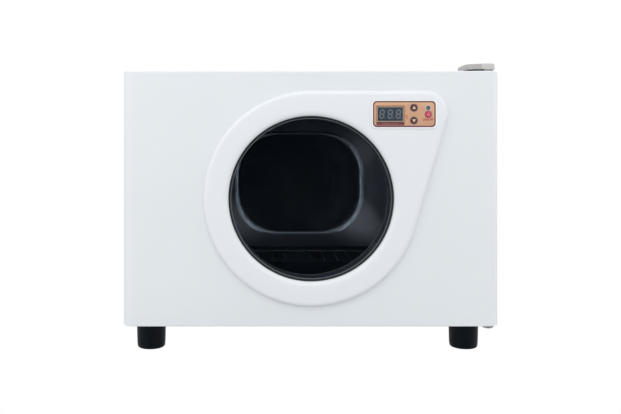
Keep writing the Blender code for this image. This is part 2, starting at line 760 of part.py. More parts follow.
def make_control_board():
    """The board behind the panel, with its three push switches and a cable plug."""
    board = box("control_board", (BOARD_SIZE[0], BOARD_THICK, BOARD_SIZE[1]), BOARD_GREEN,
                at_panel(0, BOARD_FRONT + BOARD_THICK / 2, 0), DOOR_AXIS)
    body_tall = BOARD_FRONT - GAP + 0.6 * MM
    for name, (x, z, _) in BUTTONS.items():
        switch = box(name + "_switch", (6 * MM, body_tall, 6 * MM), None,
                     at_panel(x, BOARD_FRONT + 0.5 * MM - body_tall / 2, z))
        plunger = rod(name + "_plunger", 1.7 * MM, 2 * MM, None, at_panel(x, -0.2 * MM, z), "Y", 12)
        join(board, switch, plunger)
    plug_y = BOARD_FRONT + BOARD_THICK + 3 * MM
    plug_place = at_panel(BOARD_PLUG[0], plug_y, BOARD_PLUG[1])
    join(board, box("board_plug", (9 * MM, 7 * MM, 6 * MM), None, plug_place))


def make_casing():
    half_x, half_z = BODY_HALF_X, BODY_HALF_Z
    turn_x, turn_z = half_x - CASING_CORNER, half_z - CASING_CORNER
    right = arc((turn_x, turn_z), CASING_CORNER, 0, QUARTER, 4)
    left = arc((-turn_x, turn_z), CASING_CORNER, QUARTER, 2 * QUARTER, 4)
    path = on_xz([(half_x, -half_z), *right, *left, (-half_x, -half_z)], 0)
    sheet_wrap("outer_casing", path, (0, BODY_DEPTH, 0), SHEET, WHITE_PAINT, BODY_ORIGIN)


def make_front_frame():
    outer = rounded(INSIDE_X, INSIDE_Z, 3 * MM)
    folded = rounded(INSIDE_X - SHEET, INSIDE_Z - SHEET, 2.2 * MM)
    middle = (0, CAVITY_FLOOR + CAVITY_FRONT[1])
    half_a, half_b = CAVITY_FRONT[0] + MOUTH_MARGIN, CAVITY_FRONT[1] + MOUTH_MARGIN
    opening = rounded(half_a, half_b, MOUTH_CORNER, middle)
    flange = 8 * MM
    rings = [
        on_xz(opening, 0),
        on_xz(outer, 0),
        on_xz(outer, flange),
        on_xz(folded, flange),
        on_xz(folded, SHEET),
        on_xz(opening, SHEET),
    ]
    loft("front_frame", rings, WHITE_PAINT, BODY_ORIGIN, closed=True)


def make_back_panel():
    outer = rounded(INSIDE_X, INSIDE_Z, 3 * MM)
    folded = rounded(INSIDE_X - SHEET, INSIDE_Z - SHEET, 2.2 * MM)
    flange = 10 * MM
    rings = [
        on_xz(outer, BODY_DEPTH),
        on_xz(outer, BODY_DEPTH - flange),
        on_xz(folded, BODY_DEPTH - flange),
        on_xz(folded, BODY_DEPTH - SHEET),
    ]
    panel = loft("back_panel", rings, WHITE_PAINT, BODY_ORIGIN)
    x, z = VENT_PLACE
    for i in range(VENTS):
        cut(panel, box(f"vent_{i}", VENT_SIZE, None, at_body(x, BODY_DEPTH, z + i * VENT_PITCH)))
    x, z = INLET_PLACE
    hole_size = (INLET_BODY[0] + 1 * MM, 6 * MM, INLET_BODY[2] + 1 * MM)
    cut(panel, box("inlet_hole", hole_size, None, at_body(x, BODY_DEPTH, z)))


def make_power_inlet():
    """A panel appliance inlet: flange outside, body through the back, three flat pins in a recess."""
    x, z = INLET_PLACE
    flange_front = BODY_DEPTH + GAP
    flange_thick = INLET_REACH - GAP
    mouth = BODY_DEPTH + INLET_REACH
    flange_size = (INLET_FLANGE[0], flange_thick, INLET_FLANGE[1])
    flange_place = at_body(x, flange_front + flange_thick / 2, z)
    inlet = box("power_inlet", flange_size, DARK_PLASTIC, flange_place)
    body = box("inlet_body", INLET_BODY, None, at_body(x, flange_front + 1 * MM - INLET_BODY[1] / 2, z))
    socket_size = (SOCKET_SIZE[0], 2 * SOCKET_DEEP, SOCKET_SIZE[1])
    socket = box("inlet_socket", socket_size, None, at_body(x, mouth, z))
    join(inlet, body)
    cut(inlet, socket)
    pin_size, pin_y = (2 * MM, 12 * MM, 4 * MM), mouth - SOCKET_DEEP + 5.5 * MM
    for i, (dx, dz) in enumerate(((-7 * MM, -1 * MM), (0, 3 * MM), (7 * MM, -1 * MM))):
        join(inlet, box(f"inlet_pin_{i}", pin_size, None, at_body(x + dx, pin_y, z + dz)))
    for side in (-1, 1):
        place = at_body(x + side * 20 * MM, BODY_DEPTH, z)
        cut(inlet, rod(f"inlet_screw_hole_{side}", 1.7 * MM, 12 * MM, None, place, "Y", 12))


def make_base_pan():
    half_y = BODY_DEPTH / 2
    pan = box("base_pan", (2 * INSIDE_X, BODY_DEPTH, SHEET), WHITE_PAINT,
              (0, BODY_Y + half_y, BASE_Z + SHEET / 2))
    rise = 12 * MM
    for side in (-1, 1):
        place = (side * (INSIDE_X - SHEET / 2), BODY_Y + half_y, BASE_Z + rise / 2)
        join(pan, box(f"base_flange_{side}", (SHEET, BODY_DEPTH - 30 * MM, rise), None, place))
    for corner, (x, y) in foot_places().items():
        if corner != "front_right":
            place = (x, y, BASE_Z)
            cut(pan, rod("base_hole_" + corner, SCREW_HOLE_R, 20 * MM, None, place, segments=16))


def cavity_profile(steps, bend_steps):
    """How far the walls have come in, and back, from the straight part (0, 0) to the flat back (1, 1).

    A long curve leaves the straight walls, and a small bend of its own leads to the flat back.
    """
    total_in = CAVITY_REAR[0] - CAVITY_BACK[0]
    total_back = CAVITY_DEEP - CAVITY_STRAIGHT
    curve_in = total_in - BACK_BEND_R * math.sin(BACK_BEND)
    curve_back = total_back - BACK_BEND_R * (1 - math.cos(BACK_BEND))
    slope = math.tan(BACK_BEND) * curve_in / curve_back
    last = math.asin(slope / (1 - slope))
    points = []
    for i in range(steps + 1):
        turn = QUARTER + (last - QUARTER) * i / steps
        inward = curve_in * (1 - math.sin(turn)) / (1 - math.sin(last))
        points.append((inward / total_in, curve_back * math.cos(turn) / math.cos(last) / total_back))
    for i in range(1, bend_steps + 1):
        tilt = BACK_BEND * (1 - i / bend_steps)
        inward = total_in - BACK_BEND_R * math.sin(tilt)
        points.append((inward / total_in, 1 - BACK_BEND_R * (1 - math.cos(tilt)) / total_back))
    return points


def cavity_rings(grow, front):
    """The cavity's skin from its mouth to its back, grown outwards by grow."""

    def ring(half_a, half_b, corner, middle, y):
        return on_xz(rounded(half_a + grow, half_b + grow, corner + grow, (0, middle)), y)

    rear_middle = CAVITY_FLOOR + CAVITY_REAR[1]
    rings = [ring(*CAVITY_FRONT, CAVITY_FLOOR + CAVITY_FRONT[1], front)]
    for inward, back in cavity_profile(4, 2):
        sizes = [a + (b - a) * inward for a, b in zip(CAVITY_REAR, CAVITY_BACK)]
        middle = rear_middle + (CAVITY_BACK_Z - rear_middle) * inward
        y = CAVITY_STRAIGHT + (CAVITY_DEEP + grow - CAVITY_STRAIGHT) * back
        rings.append(ring(*sizes, middle, y))
    return rings


def make_cavity():
    middle = (0, CAVITY_FLOOR + CAVITY_FRONT[1])
    half_a, half_b = CAVITY_FRONT[0] + CAVITY_FLANGE, CAVITY_FRONT[1] + CAVITY_FLANGE

    def flange_ring(y):
        return on_xz(rounded(half_a, half_b, FLANGE_CORNER, middle), y)

    outside = cavity_rings(CAVITY_WALL, LINER_Y + CAVITY_WALL)
    rings = [
        *cavity_rings(0, LINER_Y)[::-1],
        flange_ring(LINER_Y),
        flange_ring(LINER_Y + CAVITY_WALL),
        *outside,
    ]
    loft("cavity_liner", rings, ALUMINIUM, BODY_ORIGIN)
    spacing = 4 * MM
    jacket = box("cavity_insulation", BODY_WOOL_SIZE, WOOL, at_body(*BODY_WOOL_PLACE))
    hollow = loft("jacket_hollow", cavity_rings(CAVITY_WALL + spacing, -2 * MM), None, BODY_ORIGIN)
    place = at_body(0, CAVITY_DEEP, CAVITY_BACK_Z)
    back_hole = rod("cutout_hole", 13 * MM, 60 * MM, None, place, "Y", 24)
    notch_size = (44 * MM, 30 * MM, 34 * MM)
    notch_place = at_body(INLET_PLACE[0], BODY_DEPTH - 10 * MM, INLET_PLACE[1] - 2 * MM)
    cut(jacket, hollow, back_hole, box("inlet_notch", notch_size, None, notch_place))
    mat_z = CAVITY_FLOOR - CAVITY_WALL - GAP - HEATER_SIZE[2] / 2
    mat = box("heater_mat", HEATER_SIZE, SILICONE, at_body(0, HEATER_Y, mat_z))
    bevel(mat, 0.4 * MM, 1)
    back = CAVITY_DEEP + CAVITY_WALL + GAP
    place = at_body(45 * MM, back + 1.5 * MM, CAVITY_BACK_Z + 30 * MM)
    sensor = rod("temperature_sensor", 1.4 * MM, 14 * MM, ZINC_STEEL, place, "X", 12)
    bevel(sensor, 0.4 * MM, 1)
    disc, tall, tab = 8 * MM, 8 * MM, 9 * MM
    place = at_body(0, back + tall / 2, CAVITY_BACK_Z)
    cutout = rod("thermal_cutout", disc, tall, ZINC_STEEL, place, "Y", 24)
    for side in (-1, 1):
        place = at_body(side * 4 * MM, back + tall + tab / 2 - 1 * MM, CAVITY_BACK_Z)
        join(cutout, box(f"cutout_tab_{side}", (1 * MM, tab, 5 * MM), None, place))


def make_power_board():
    """The mains board stands on edge beside the cavity, with transformer, relay and terminal block."""
    x, y, z = at_body(*POWER_BOARD_PLACE)
    board = box("power_board", POWER_BOARD_SIZE, BOARD_GREEN, (x, y, z))
    blocks = {
        "transformer": ((20 * MM, 26 * MM, 30 * MM), -22 * MM, 16 * MM),
        "relay": ((16 * MM, 13 * MM, 19 * MM), 14 * MM, 20 * MM),
        "terminals": ((11 * MM, 40 * MM, 10 * MM), 20 * MM, -28 * MM),
    }
    for name, (size, dy, dz) in blocks.items():
        join(board, box(name, size, None, (x - size[0] / 2, y + dy, z + dz)))


def bracket_circles(rear):
    """The brackets' plan: a blunt nose at the pivot, and a heel that widens to the left."""
    nose = NOSE_HALF - NOSE_CORNER
    left, right = HEEL_LEFT + HEEL_CORNER, NOSE_HALF - HEEL_CORNER
    return [
        (-nose, NOSE_CORNER - NOSE_FRONT, NOSE_CORNER),
        (nose, NOSE_CORNER - NOSE_FRONT, NOSE_CORNER),
        (right, rear - HEEL_CORNER, HEEL_CORNER),
        (left, rear - HEEL_CORNER, HEEL_CORNER),
        (left, HEEL_FRONT, HEEL_CORNER),
    ]


def make_hinge():
    top_z = TOP_Z + GAP
    wire_hole = (PIVOT.x - 7 * MM, PIVOT.y + 42 * MM)
    over_foot = (FOOT_X, FOOT_FRONT_Y)
    top_second = (FOOT_X + 12.5 * MM, FOOT_FRONT_Y + 3 * MM)
    bottom_second = (FOOT_X + 4 * MM, FOOT_FRONT_Y + 26 * MM)
    top_holes = [(*over_foot, SCREW_HOLE_R), (*top_second, SCREW_HOLE_R), (*wire_hole, WIRE_HOLE_R)]
    bottom_holes = [(*over_foot, SCREW_HOLE_R), (*bottom_second, SCREW_HOLE_R)]
    brackets = (  # name, underside, rear end, holes, the sheet it is screwed to
        ("top_hinge_bracket", top_z, TOP_REAR, top_holes, "outer_casing"),
        ("bottom_hinge_bracket", BRACKET_BASE_Z, BOTTOM_REAR, bottom_holes, "base_pan"),
    )
    for name, z, rear, holes, sheet in brackets:
        outline = hull(bracket_circles(rear), COVER_WALL + GAP)
        bracket = plate(name, outline, BRACKET_THICK, ZINC_STEEL, (PIVOT.x, PIVOT.y, z))
        cut(bracket, rod(name + "_bore", PIN_R + GAP, 20 * MM, None, (PIVOT.x, PIVOT.y, z), segments=24))
        for i, (x, y, radius) in enumerate(holes):
            hole = rod(f"{name}_hole_{i}", radius, 20 * MM, None, (x, y, z), segments=16)
            cut(bracket, hole)
            cut(bpy.data.objects[sheet], hole)
    make_hinge_pins(top_z + BRACKET_THICK)
    make_bushes()
    make_hinge_cover(top_z)
    for i, place in enumerate((over_foot, top_second)):
        screw(f"top_hinge_screw_{i + 1}", (*place, top_z + BRACKET_THICK + GAP), 9 * MM, 1)
    screw("bottom_hinge_screw", (*bottom_second, BRACKET_BASE_Z - GAP), 9 * MM, -1)


def make_hinge_pins(pin_top):
    """A hollow upper pin, for the cable, and a solid lower pin with a head below its bracket."""
    pin_foot = DOOR_BOTTOM + DOOR_HEIGHT - 11 * MM
    tube = [(PIN_BORE, pin_top), (PIN_R, pin_top), (PIN_R, pin_foot), (PIN_BORE, pin_foot)]
    turned("upper_hinge_pin", tube, ZINC_STEEL, (PIVOT.x, PIVOT.y, 0))
    head = BRACKET_BASE_Z - 1.6 * MM
    peg_top = DOOR_BOTTOM + 11 * MM
    peg = [
        (0, peg_top),
        (PIN_R - 0.8 * MM, peg_top),
        (PIN_R, peg_top - 0.8 * MM),
        (PIN_R, BRACKET_BASE_Z - GAP),
        (PIN_R + 2 * MM, BRACKET_BASE_Z - GAP),
        (PIN_R + 2 * MM, head),
        (0, head),
    ]
    turned("lower_hinge_pin", peg, ZINC_STEEL, (PIVOT.x, PIVOT.y, 0))


def make_bushes():
    """Flanged bushes in the door's caps. Each flange is the low boss between the door and its bracket."""
    bore = PIN_R + GAP
    edge = DOOR_HEIGHT / 2
    for name, side in (("upper_pivot_bush", 1), ("lower_pivot_bush", -1)):
        tip = side * (edge + BODY_LIP - 0.1 * MM)
        seat = side * (edge + GAP)
        deep = side * (edge - 10 * MM)
        flange = [(bore, tip), (BUSH_FLANGE_R, tip), (BUSH_FLANGE_R, seat)]
        profile = [*flange, (BUSH_R, seat), (BUSH_R, deep), (bore, deep)]
        place = (PIVOT.x, PIVOT.y, DOOR_MID_Z)
        turned(name, profile[::side], WHITE_PLASTIC, place, parent=DOOR_AXIS)


def make_hinge_cover(z):
    """A thin moulded cap over the top bracket, open below. Its top rises a little to the rear."""
    step = math.radians(15)
    steps = 3

    def shell(inset, rise):
        rings = [on_xy(hull(COVER_CIRCLES, inset, step), 0)]
        for i in range(steps + 1):
            turn = QUARTER * i / steps
            shrink = inset + COVER_DRAFT + COVER_EDGE * (1 - math.cos(turn))
            outline = hull(COVER_CIRCLES, shrink, step)
            height = rise - COVER_EDGE * (1 - math.sin(turn))
            rings.append([(x, y, height + COVER_CROWN * y) for x, y in outline])
        return rings

    rings = shell(0, COVER_RISE)[::-1] + shell(COVER_WALL, COVER_RISE - COVER_WALL)
    loft("top_hinge_cover", rings, GREY_PLASTIC, (PIVOT.x, PIVOT.y, z))


def screw(name, place, length, side):
    """A pan-head screw under whose head place lies. The head is above for side 1 and below for side -1."""
    head_r, head_tall = 3.8 * MM, 2.4 * MM
    profile = [
        (0, head_tall),
        (head_r * 0.6, head_tall),
        (head_r * 0.92, head_tall * 0.6),
        (head_r, 0),
        (SCREW_R, 0),
        (SCREW_R, -length),
        (0, -length),
    ]
    profile = [(radius, side * height) for radius, height in profile][::side]
    return turned(name, profile, ZINC_STEEL, place, steps=12)


def foot_places():
    return {
        "front_left": (-FOOT_X, FOOT_FRONT_Y),
        "front_right": (FOOT_X, FOOT_FRONT_Y),
        "rear_left": (-FOOT_X, FOOT_REAR_Y),
        "rear_right": (FOOT_X, FOOT_REAR_Y),
    }


def make_feet():
    """Tapered rubber feet. The front right one clamps the hinge bracket; the others have a washer."""
    turns = [QUARTER * i / 3 for i in range(4)]
    edge = [
        (FOOT_BASE_R - FOOT_EDGE * (1 - math.cos(turn)), FOOT_EDGE * (1 - math.sin(turn)))
        for turn in turns
    ]
    top_lip = 2.5 * MM
    profile = [
        (SCREW_HOLE_R, FOOT_HEIGHT),
        (FOOT_TOP_R, FOOT_HEIGHT),
        (FOOT_TOP_R, FOOT_HEIGHT - top_lip),
        (FOOT_TOP_R - 0.7 * MM, FOOT_HEIGHT - top_lip - 0.5 * MM),
        *edge,
        (FOOT_WELL_R, 0),
        (FOOT_WELL_R, FOOT_WELL_DEEP),
        (SCREW_HOLE_R, FOOT_WELL_DEEP),
    ]
    for corner, (x, y) in foot_places().items():
        turned("foot_" + corner, profile, BLACK_RUBBER, (x, y, 0), steps=20)
        screw_length = BASE_Z + 6 * MM - FOOT_WELL_DEEP
        screw("foot_screw_" + corner, (x, y, FOOT_WELL_DEEP - GAP), screw_length, -1)
        if corner != "front_right":
            washer = [
                (SCREW_HOLE_R, BRACKET_BASE_Z + BRACKET_THICK),
                (12 * MM, BRACKET_BASE_Z + BRACKET_THICK),
                (12 * MM, BRACKET_BASE_Z),
                (SCREW_HOLE_R, BRACKET_BASE_Z),
            ]
            turned("foot_washer_" + corner, washer, ZINC_STEEL, (x, y, 0))


def make_tray():
    """A pressed drip tray with a wire-look rack standing in it. The two slide out together."""
    wide, deep, tall = TRAY_SIZE
    middle = (0, deep / 2)

    def outline(inset, corner):
        return rounded(wide / 2 - inset, deep / 2 - inset, corner, middle)

    rings = [
        on_xy(outline(TRAY_TAPER, 8 * MM), 0),
        on_xy(outline(0, 9 * MM), tall),
        on_xy(outline(SHEET, 8.2 * MM), tall),
        on_xy(outline(TRAY_TAPER + SHEET, 7.2 * MM), SHEET),
    ]
    loft("drip_tray", rings, ALUMINIUM, TRAY_AXIS.location.copy(), TRAY_AXIS)
    bar = RACK_BAR
    rack_wide, rack_deep = RACK_SIZE
    place = Vector((0, TRAY_FRONT_Y + deep / 2, TRAY_Z + RACK_DECK))
    rack = box("towel_rack", (rack_wide, rack_deep, bar), CHROME, place, TRAY_AXIS)
    pitch = (rack_wide - bar) / RACK_GAPS
    slot_size = (pitch - bar, rack_deep - 2 * bar, 3 * bar)
    for i in range(RACK_GAPS):
        shift = Vector(((i - (RACK_GAPS - 1) / 2) * pitch, 0, 0))
        cut(rack, box(f"rack_slot_{i}", slot_size, None, place + shift))
    leg = RACK_DECK - SHEET - GAP
    for i, (x, y) in enumerate(corners(rack_wide / 2 - bar / 2 - pitch, rack_deep / 2 - bar / 2)):
        join(rack, box(f"rack_leg_{i}", (bar, bar, leg), None, place + Vector((x, y, -leg / 2))))


def make_harness():
    """The control cable: up inside the casing, down the hollow pin, and across to the board."""
    px, py = PIVOT.x / MM, PIVOT.y / MM
    top = TOP_Z / MM
    run_z = top + 5.4
    body_stops = [
        (194, 23, 149.5),
        (194, 2, 149.5),
        (195.5, -18, 151),
        (202, -34, 160),
        (210, -38, 190),
        (213, -44, 245),
        (213, py + 60, 310),
        (px - 7, py + 43, top - 14),
        (px - 7, py + 42, top - 2),
        (px - 7, py + 41.8, top + 2.2),
        (px - 6.8, py + 39.6, run_z - 0.4),
        (px - 5, py + 33, run_z),
        (px - 1.4, py + 10, run_z),
        (px - 0.2, py + 3.2, run_z - 0.4),
        (px, py + 0.5, run_z - 2.6),
        (px, py, run_z - 7),
        (px, py, run_z - 14),
    ]
    cable("body_harness", body_stops, 44, HARNESS_R, DARK_PLASTIC)
    board_x, face, board_z = PANEL_ORIGIN / MM
    door_stops = [
        (px, py, run_z - 14.4),
        (px, py, run_z - 20),
        (px - 3, py + 0.4, run_z - 27),
        (px - 14, py + 0.6, run_z - 33),
        (px - 32, py + 0.2, board_z + 16),
        (board_x + 50, face + 13, board_z + 11),
        (board_x + 42, face + 9, board_z + 9.2),
        (board_x + 36, face + 8.4, board_z + 9),
    ]
    cable("door_harness", door_stops, 28, HARNESS_R, DARK_PLASTIC, DOOR_AXIS)


make_door_shell()
make_door_inside()
make_surround()
make_window()
make_panel()
make_buttons()
make_control_board()
make_casing()
make_front_frame()
make_back_panel()
make_power_inlet()
make_base_pan()
make_cavity()
make_power_board()
make_hinge()
make_feet()
make_tray()
make_harness()
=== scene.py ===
"""Looks of the hot towel cabinet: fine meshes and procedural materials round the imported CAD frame.

Everything is in metres in the frame's own axes: the front faces -Y, and +Z is up.
"""

import math

import bmesh
import bpy
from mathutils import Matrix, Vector


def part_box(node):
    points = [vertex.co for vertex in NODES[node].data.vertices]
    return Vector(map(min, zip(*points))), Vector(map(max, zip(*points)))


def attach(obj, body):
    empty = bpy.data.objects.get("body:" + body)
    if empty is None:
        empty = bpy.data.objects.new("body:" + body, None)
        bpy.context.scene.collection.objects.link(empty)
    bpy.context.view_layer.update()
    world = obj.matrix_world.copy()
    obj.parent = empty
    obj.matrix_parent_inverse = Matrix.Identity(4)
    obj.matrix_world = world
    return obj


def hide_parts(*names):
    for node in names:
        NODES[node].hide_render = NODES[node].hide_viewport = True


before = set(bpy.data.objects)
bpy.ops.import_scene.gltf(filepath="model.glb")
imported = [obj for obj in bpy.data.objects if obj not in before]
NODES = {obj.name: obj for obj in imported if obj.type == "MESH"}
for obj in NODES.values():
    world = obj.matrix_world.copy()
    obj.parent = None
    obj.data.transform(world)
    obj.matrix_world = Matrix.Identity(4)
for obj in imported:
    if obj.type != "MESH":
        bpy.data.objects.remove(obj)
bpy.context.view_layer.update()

MM = 0.001
QUARTER = math.pi / 2


def middle(node):
    low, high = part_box(node)
    return (low + high) / 2


def middle_xz(node):
    spot = middle(node)
    return spot.x, spot.z


def half_xz(node):
    """Half of a node's width and half of its height."""
    low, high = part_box(node)
    return (high.x - low.x) / 2, (high.z - low.z) / 2


# Places read from the frame
SKIN_LOW, SKIN_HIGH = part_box("door_skin")
CAP_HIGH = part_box("door_top_cap")[1]
CAP_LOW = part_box("door_bottom_cap")[0]
CASING_LOW, CASING_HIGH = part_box("outer_casing")
LINER_LOW, LINER_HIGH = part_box("cavity_liner")
FACE_Y = SKIN_LOW.y
DOOR_BACK = SKIN_HIGH.y
HALF_WIDTH = SKIN_HIGH.x
WINDOW_Z = middle("outer_window_glass").z
PANEL = middle("display_frame")
PANEL_XZ = (PANEL.x, PANEL.z)
PIVOT = middle("lower_hinge_pin")
PIVOT_XY = (PIVOT.x, PIVOT.y)

# Sizes of the door
SHEET = 0.8 * MM
DOOR_CORNER = 14 * MM
CAP_LIP = 2 * MM
SURROUND_RISE = 5 * MM
WINDOW_R = 100 * MM
SEAL_BORE_R = 97.8 * MM
TUNNEL_R = 99 * MM
PANE_RING_R = 99.3 * MM
PANE_CHAMFER = 0.8 * MM
PULL_CUP = (10 * MM, 45 * MM, 6 * MM)  # half depth, half height, corner radius

# Sizes of the control panel
BUTTONS = ("up_button", "down_button", "power_button")
BUTTON_FLANGE = 1.1 * MM
MARK_THICK = 0.05 * MM
DIGIT_HALF_WIDTH = 0.2  # between the middles of the upright strokes, in digit heights

# Sizes of the cabinet
COVER_RISE = 9 * MM
COVER_CROWN = 0.03
COVER_FRONT = [(-5.8 * MM, -4.9 * MM, 3.6 * MM), (3.7 * MM, -4.9 * MM, 3.6 * MM)]
COVER_CIRCLES = [  # x, y and radius from the pivot, anticlockwise
    *COVER_FRONT,
    (1.3 * MM, 60 * MM, 6 * MM),
    (-15 * MM, 60 * MM, 6 * MM),
    (-11 * MM, 12 * MM, 15.4 * MM),
]
NOSE_CIRCLES = [*COVER_FRONT, (2.6 * MM, 29 * MM, 3.6 * MM), (-5.8 * MM, 29 * MM, 3.6 * MM)]
CAVITY_REAR = (157 * MM, 112 * MM, 24 * MM)  # half width, half height, corner radius
CAVITY_BACK = (91.5 * MM, 75.6 * MM, 70 * MM)
CAVITY_ROUNDING = 60 * MM
CAVITY_FLANGE = 11 * MM
CORNER_POWER = 1.45  # how the tub's corner radius grows on the way to its back
CURVE_STEPS = 14
BEND_STEPS = 8
BACK_BEND_R = 25 * MM
BACK_BEND = math.radians(26)
SCREW_HEAD_TALL = 2.4 * MM

# Camera and light
CAMERA_SPOT = (-63.8 * MM, FACE_Y - 900 * MM, WINDOW_Z + 71 * MM)
CAMERA_LENS = 43.2
CAMERA_SHIFT = (0.0839, -0.108)
MIRRORED_WAY = (0.064, -0.9, -0.071)  # from the window to where the camera sees its mirror image
WORLD_LOW = 0.6
WORLD_HIGH = 0.93
FLOOR_COLOUR = (0.6, 0.61, 0.62)
LIGHTS = {  # place, target, size, power, colour
    "key": ((-1.6, -1.0, 1.1), (0, 0, 0.2), (0.8, 1.2), 6, (1, 0.99, 0.98)),
    "side": ((1.9, -0.3, 0.8), (0, 0, 0.2), (0.8, 1.2), 5, (0.95, 0.98, 1)),
    "left_strip": ((-0.49, -1.75, 0.7), (0, -0.15, 0.25), (0.1, 2.2), 2.8, (0.94, 0.97, 1)),
    "right_strip": ((0.66, -1.7, 0.7), (0, -0.15, 0.25), (0.1, 2.2), 2.8, (0.94, 0.97, 1)),
    "top_fill": ((0, -0.75, 1.25), (0, -0.15, 0.3), (1.2, 0.5), 1.8, (1, 1, 1)),
}


# ---------------------------------------------------------------- outlines


def arc(centre, radius, start, end, steps):
    turns = [start + (end - start) * i / steps for i in range(steps + 1)]
    return [(centre[0] + radius * math.cos(t), centre[1] + radius * math.sin(t)) for t in turns]


def circle(radius, centre=(0, 0), steps=96):
    return arc(centre, radius, 0, 2 * math.pi, steps)[:-1]


def rounded(half_a, half_b, corner, centre=(0, 0), steps=10):
    points = []
    for quarter, (a, b) in enumerate(((1, 1), (-1, 1), (-1, -1), (1, -1))):
        spot = (centre[0] + a * (half_a - corner), centre[1] + b * (half_b - corner))
        points += arc(spot, corner, quarter * QUARTER, (quarter + 1) * QUARTER, steps)
    return points


def hull(circles, inset=0.0, step=math.radians(5)):
    """The outline round (x, y, radius) circles given anticlockwise, each shrunk by inset."""
    normals = []
    for (x0, y0, r0), (x1, y1, r1) in zip(circles, circles[1:] + circles[:1]):
        away = math.hypot(x1 - x0, y1 - y0)
        along = ((x1 - x0) / away, (y1 - y0) / away)
        lean = (r0 - r1) / away
        across = math.sqrt(1 - lean * lean)
        normals.append(
            math.atan2(lean * along[1] - across * along[0], lean * along[0] + across * along[1])
        )
    points = []
    for i, (x, y, radius) in enumerate(circles):
        start = normals[i - 1]
        sweep = (normals[i] - start) % (2 * math.pi)
        steps = max(1, math.ceil(sweep / step))
        points += arc((x, y), radius - inset, start, start + sweep, steps)
    return points


def rect(half_a, half_b, corner, centre=(0, 0), steps=8):
    """A rounded rectangle that can be asked for with any inset."""
    return lambda inset: rounded(
        half_a - inset, half_b - inset, max(corner - inset, 0.05 * MM), centre, steps
    )


def disc(radius, centre=(0, 0), steps=96):
    """A circle that can be asked for with any inset."""
    return lambda inset: circle(radius - inset, centre, steps)


def around(centre, points):
    """Points given from the origin, moved to lie round centre."""
    return [(centre[0] + a, centre[1] + b) for a, b in points]


def on_xz(points, y):
    return [(a, y, b) for a, b in points]


def on_xy(points, z):
    return [(a, b, z) for a, b in points]


def on_yz(points, x):
    return [(x, a, b) for a, b in points]


def quarter_turn(steps):
    """The sine and the cosine at each step of a right angle."""
    turns = [QUARTER * i / steps for i in range(steps + 1)]
    return [(math.sin(turn), math.cos(turn)) for turn in turns]


def round_edge(radius, inset, depth, direction, steps=5):
    """Profile points (inset, depth) of a rounded edge, from the side wall to the face at depth."""
    return [
        (inset + radius * (1 - cosine), depth + direction * radius * (sine - 1))
        for sine, cosine in quarter_turn(steps)
    ]


# ---------------------------------------------------------------- mesh building


def new_object(name, bm, angle=35, turn_faces=True):
    if turn_faces:
        bmesh.ops.recalc_face_normals(bm, faces=bm.faces)
    mesh = bpy.data.meshes.new(name)
    bm.to_mesh(mesh)
    bm.free()
    mesh.shade_smooth()
    mesh.set_sharp_from_angle(angle=math.radians(angle))
    obj = bpy.data.objects.new(name, mesh)
    bpy.context.scene.collection.objects.link(obj)
    return obj


def skin(name, rings, joined=False, angle=35):
    """A surface through rings of equal point counts, its ends capped or joined to each other."""
    bm = bmesh.new()
    rows = [[bm.verts.new(point) for point in ring] for ring in rings]
    pairs = list(zip(rows, rows[1:]))
    if joined:
        pairs.append((rows[-1], rows[0]))
    else:
        bm.faces.new(rows[0])
        bm.faces.new(rows[-1])
    for near, far in pairs:
        for i in range(len(near)):
            bm.faces.new((near[i - 1], near[i], far[i], far[i - 1]))
    return new_object(name, bm, angle)


def prism(name, points, start, end, plane=on_xz):
    """A straight piece with one outline, between two depths."""
    return skin(name, [plane(points, start), plane(points, end)])


def moulded(name, outline, profile, place, joined=False, angle=35):
    """A piece whose outline is followed at each (inset, depth) of a profile."""
    return skin(name, [place(outline(inset), depth) for inset, depth in profile], joined, angle)


def block(name, low, high, radius=0.4 * MM, segments=2):
    """A box between two corners with its edges rounded."""
    bm = bmesh.new()
    bmesh.ops.create_cube(bm, size=1)
    low, high = Vector(low), Vector(high)
    bmesh.ops.scale(bm, vec=high - low, verts=bm.verts)
    bmesh.ops.translate(bm, vec=(low + high) / 2, verts=bm.verts)
    if radius:
        edges = bm.edges[:]
        bmesh.ops.bevel(bm, geom=edges, offset=radius, segments=segments, affect="EDGES", profile=0.5)
    return new_object(name, bm)


def tube(name, points, radius, closed=False, sides=3):
    """A round wire along points, as a mesh."""
    curve = bpy.data.curves.new(name, "CURVE")
    curve.dimensions = "3D"
    curve.bevel_depth = radius
    curve.bevel_resolution = sides
    curve.use_fill_caps = True
    spline = curve.splines.new("POLY")
    spline.points.add(len(points) - 1)
    for spot, point in zip(spline.points, points):
        spot.co = (*point, 1)
    spline.use_cyclic_u = closed
    return as_mesh(curve, name)


def as_mesh(data, name):
    """The evaluated mesh of a curve or text, welded, as its own object."""
    drawn = bpy.data.objects.new(name + "_drawn", data)
    bpy.context.scene.collection.objects.link(drawn)
    graph = bpy.context.evaluated_depsgraph_get()
    bm = bmesh.new()
    bm.from_mesh(bpy.data.meshes.new_from_object(drawn.evaluated_get(graph)))
    bpy.data.objects.remove(drawn)
    bmesh.ops.remove_doubles(bm, verts=bm.verts, dist=0.000002)
    return new_object(name, bm)


def merged(name, pieces):
    """Several objects' meshes as one object. The pieces' own places and turns are not applied."""
    bm = bmesh.new()
    for piece in pieces:
        bm.from_mesh(piece.data)
        bpy.data.objects.remove(piece)
    return new_object(name, bm, turn_faces=False)


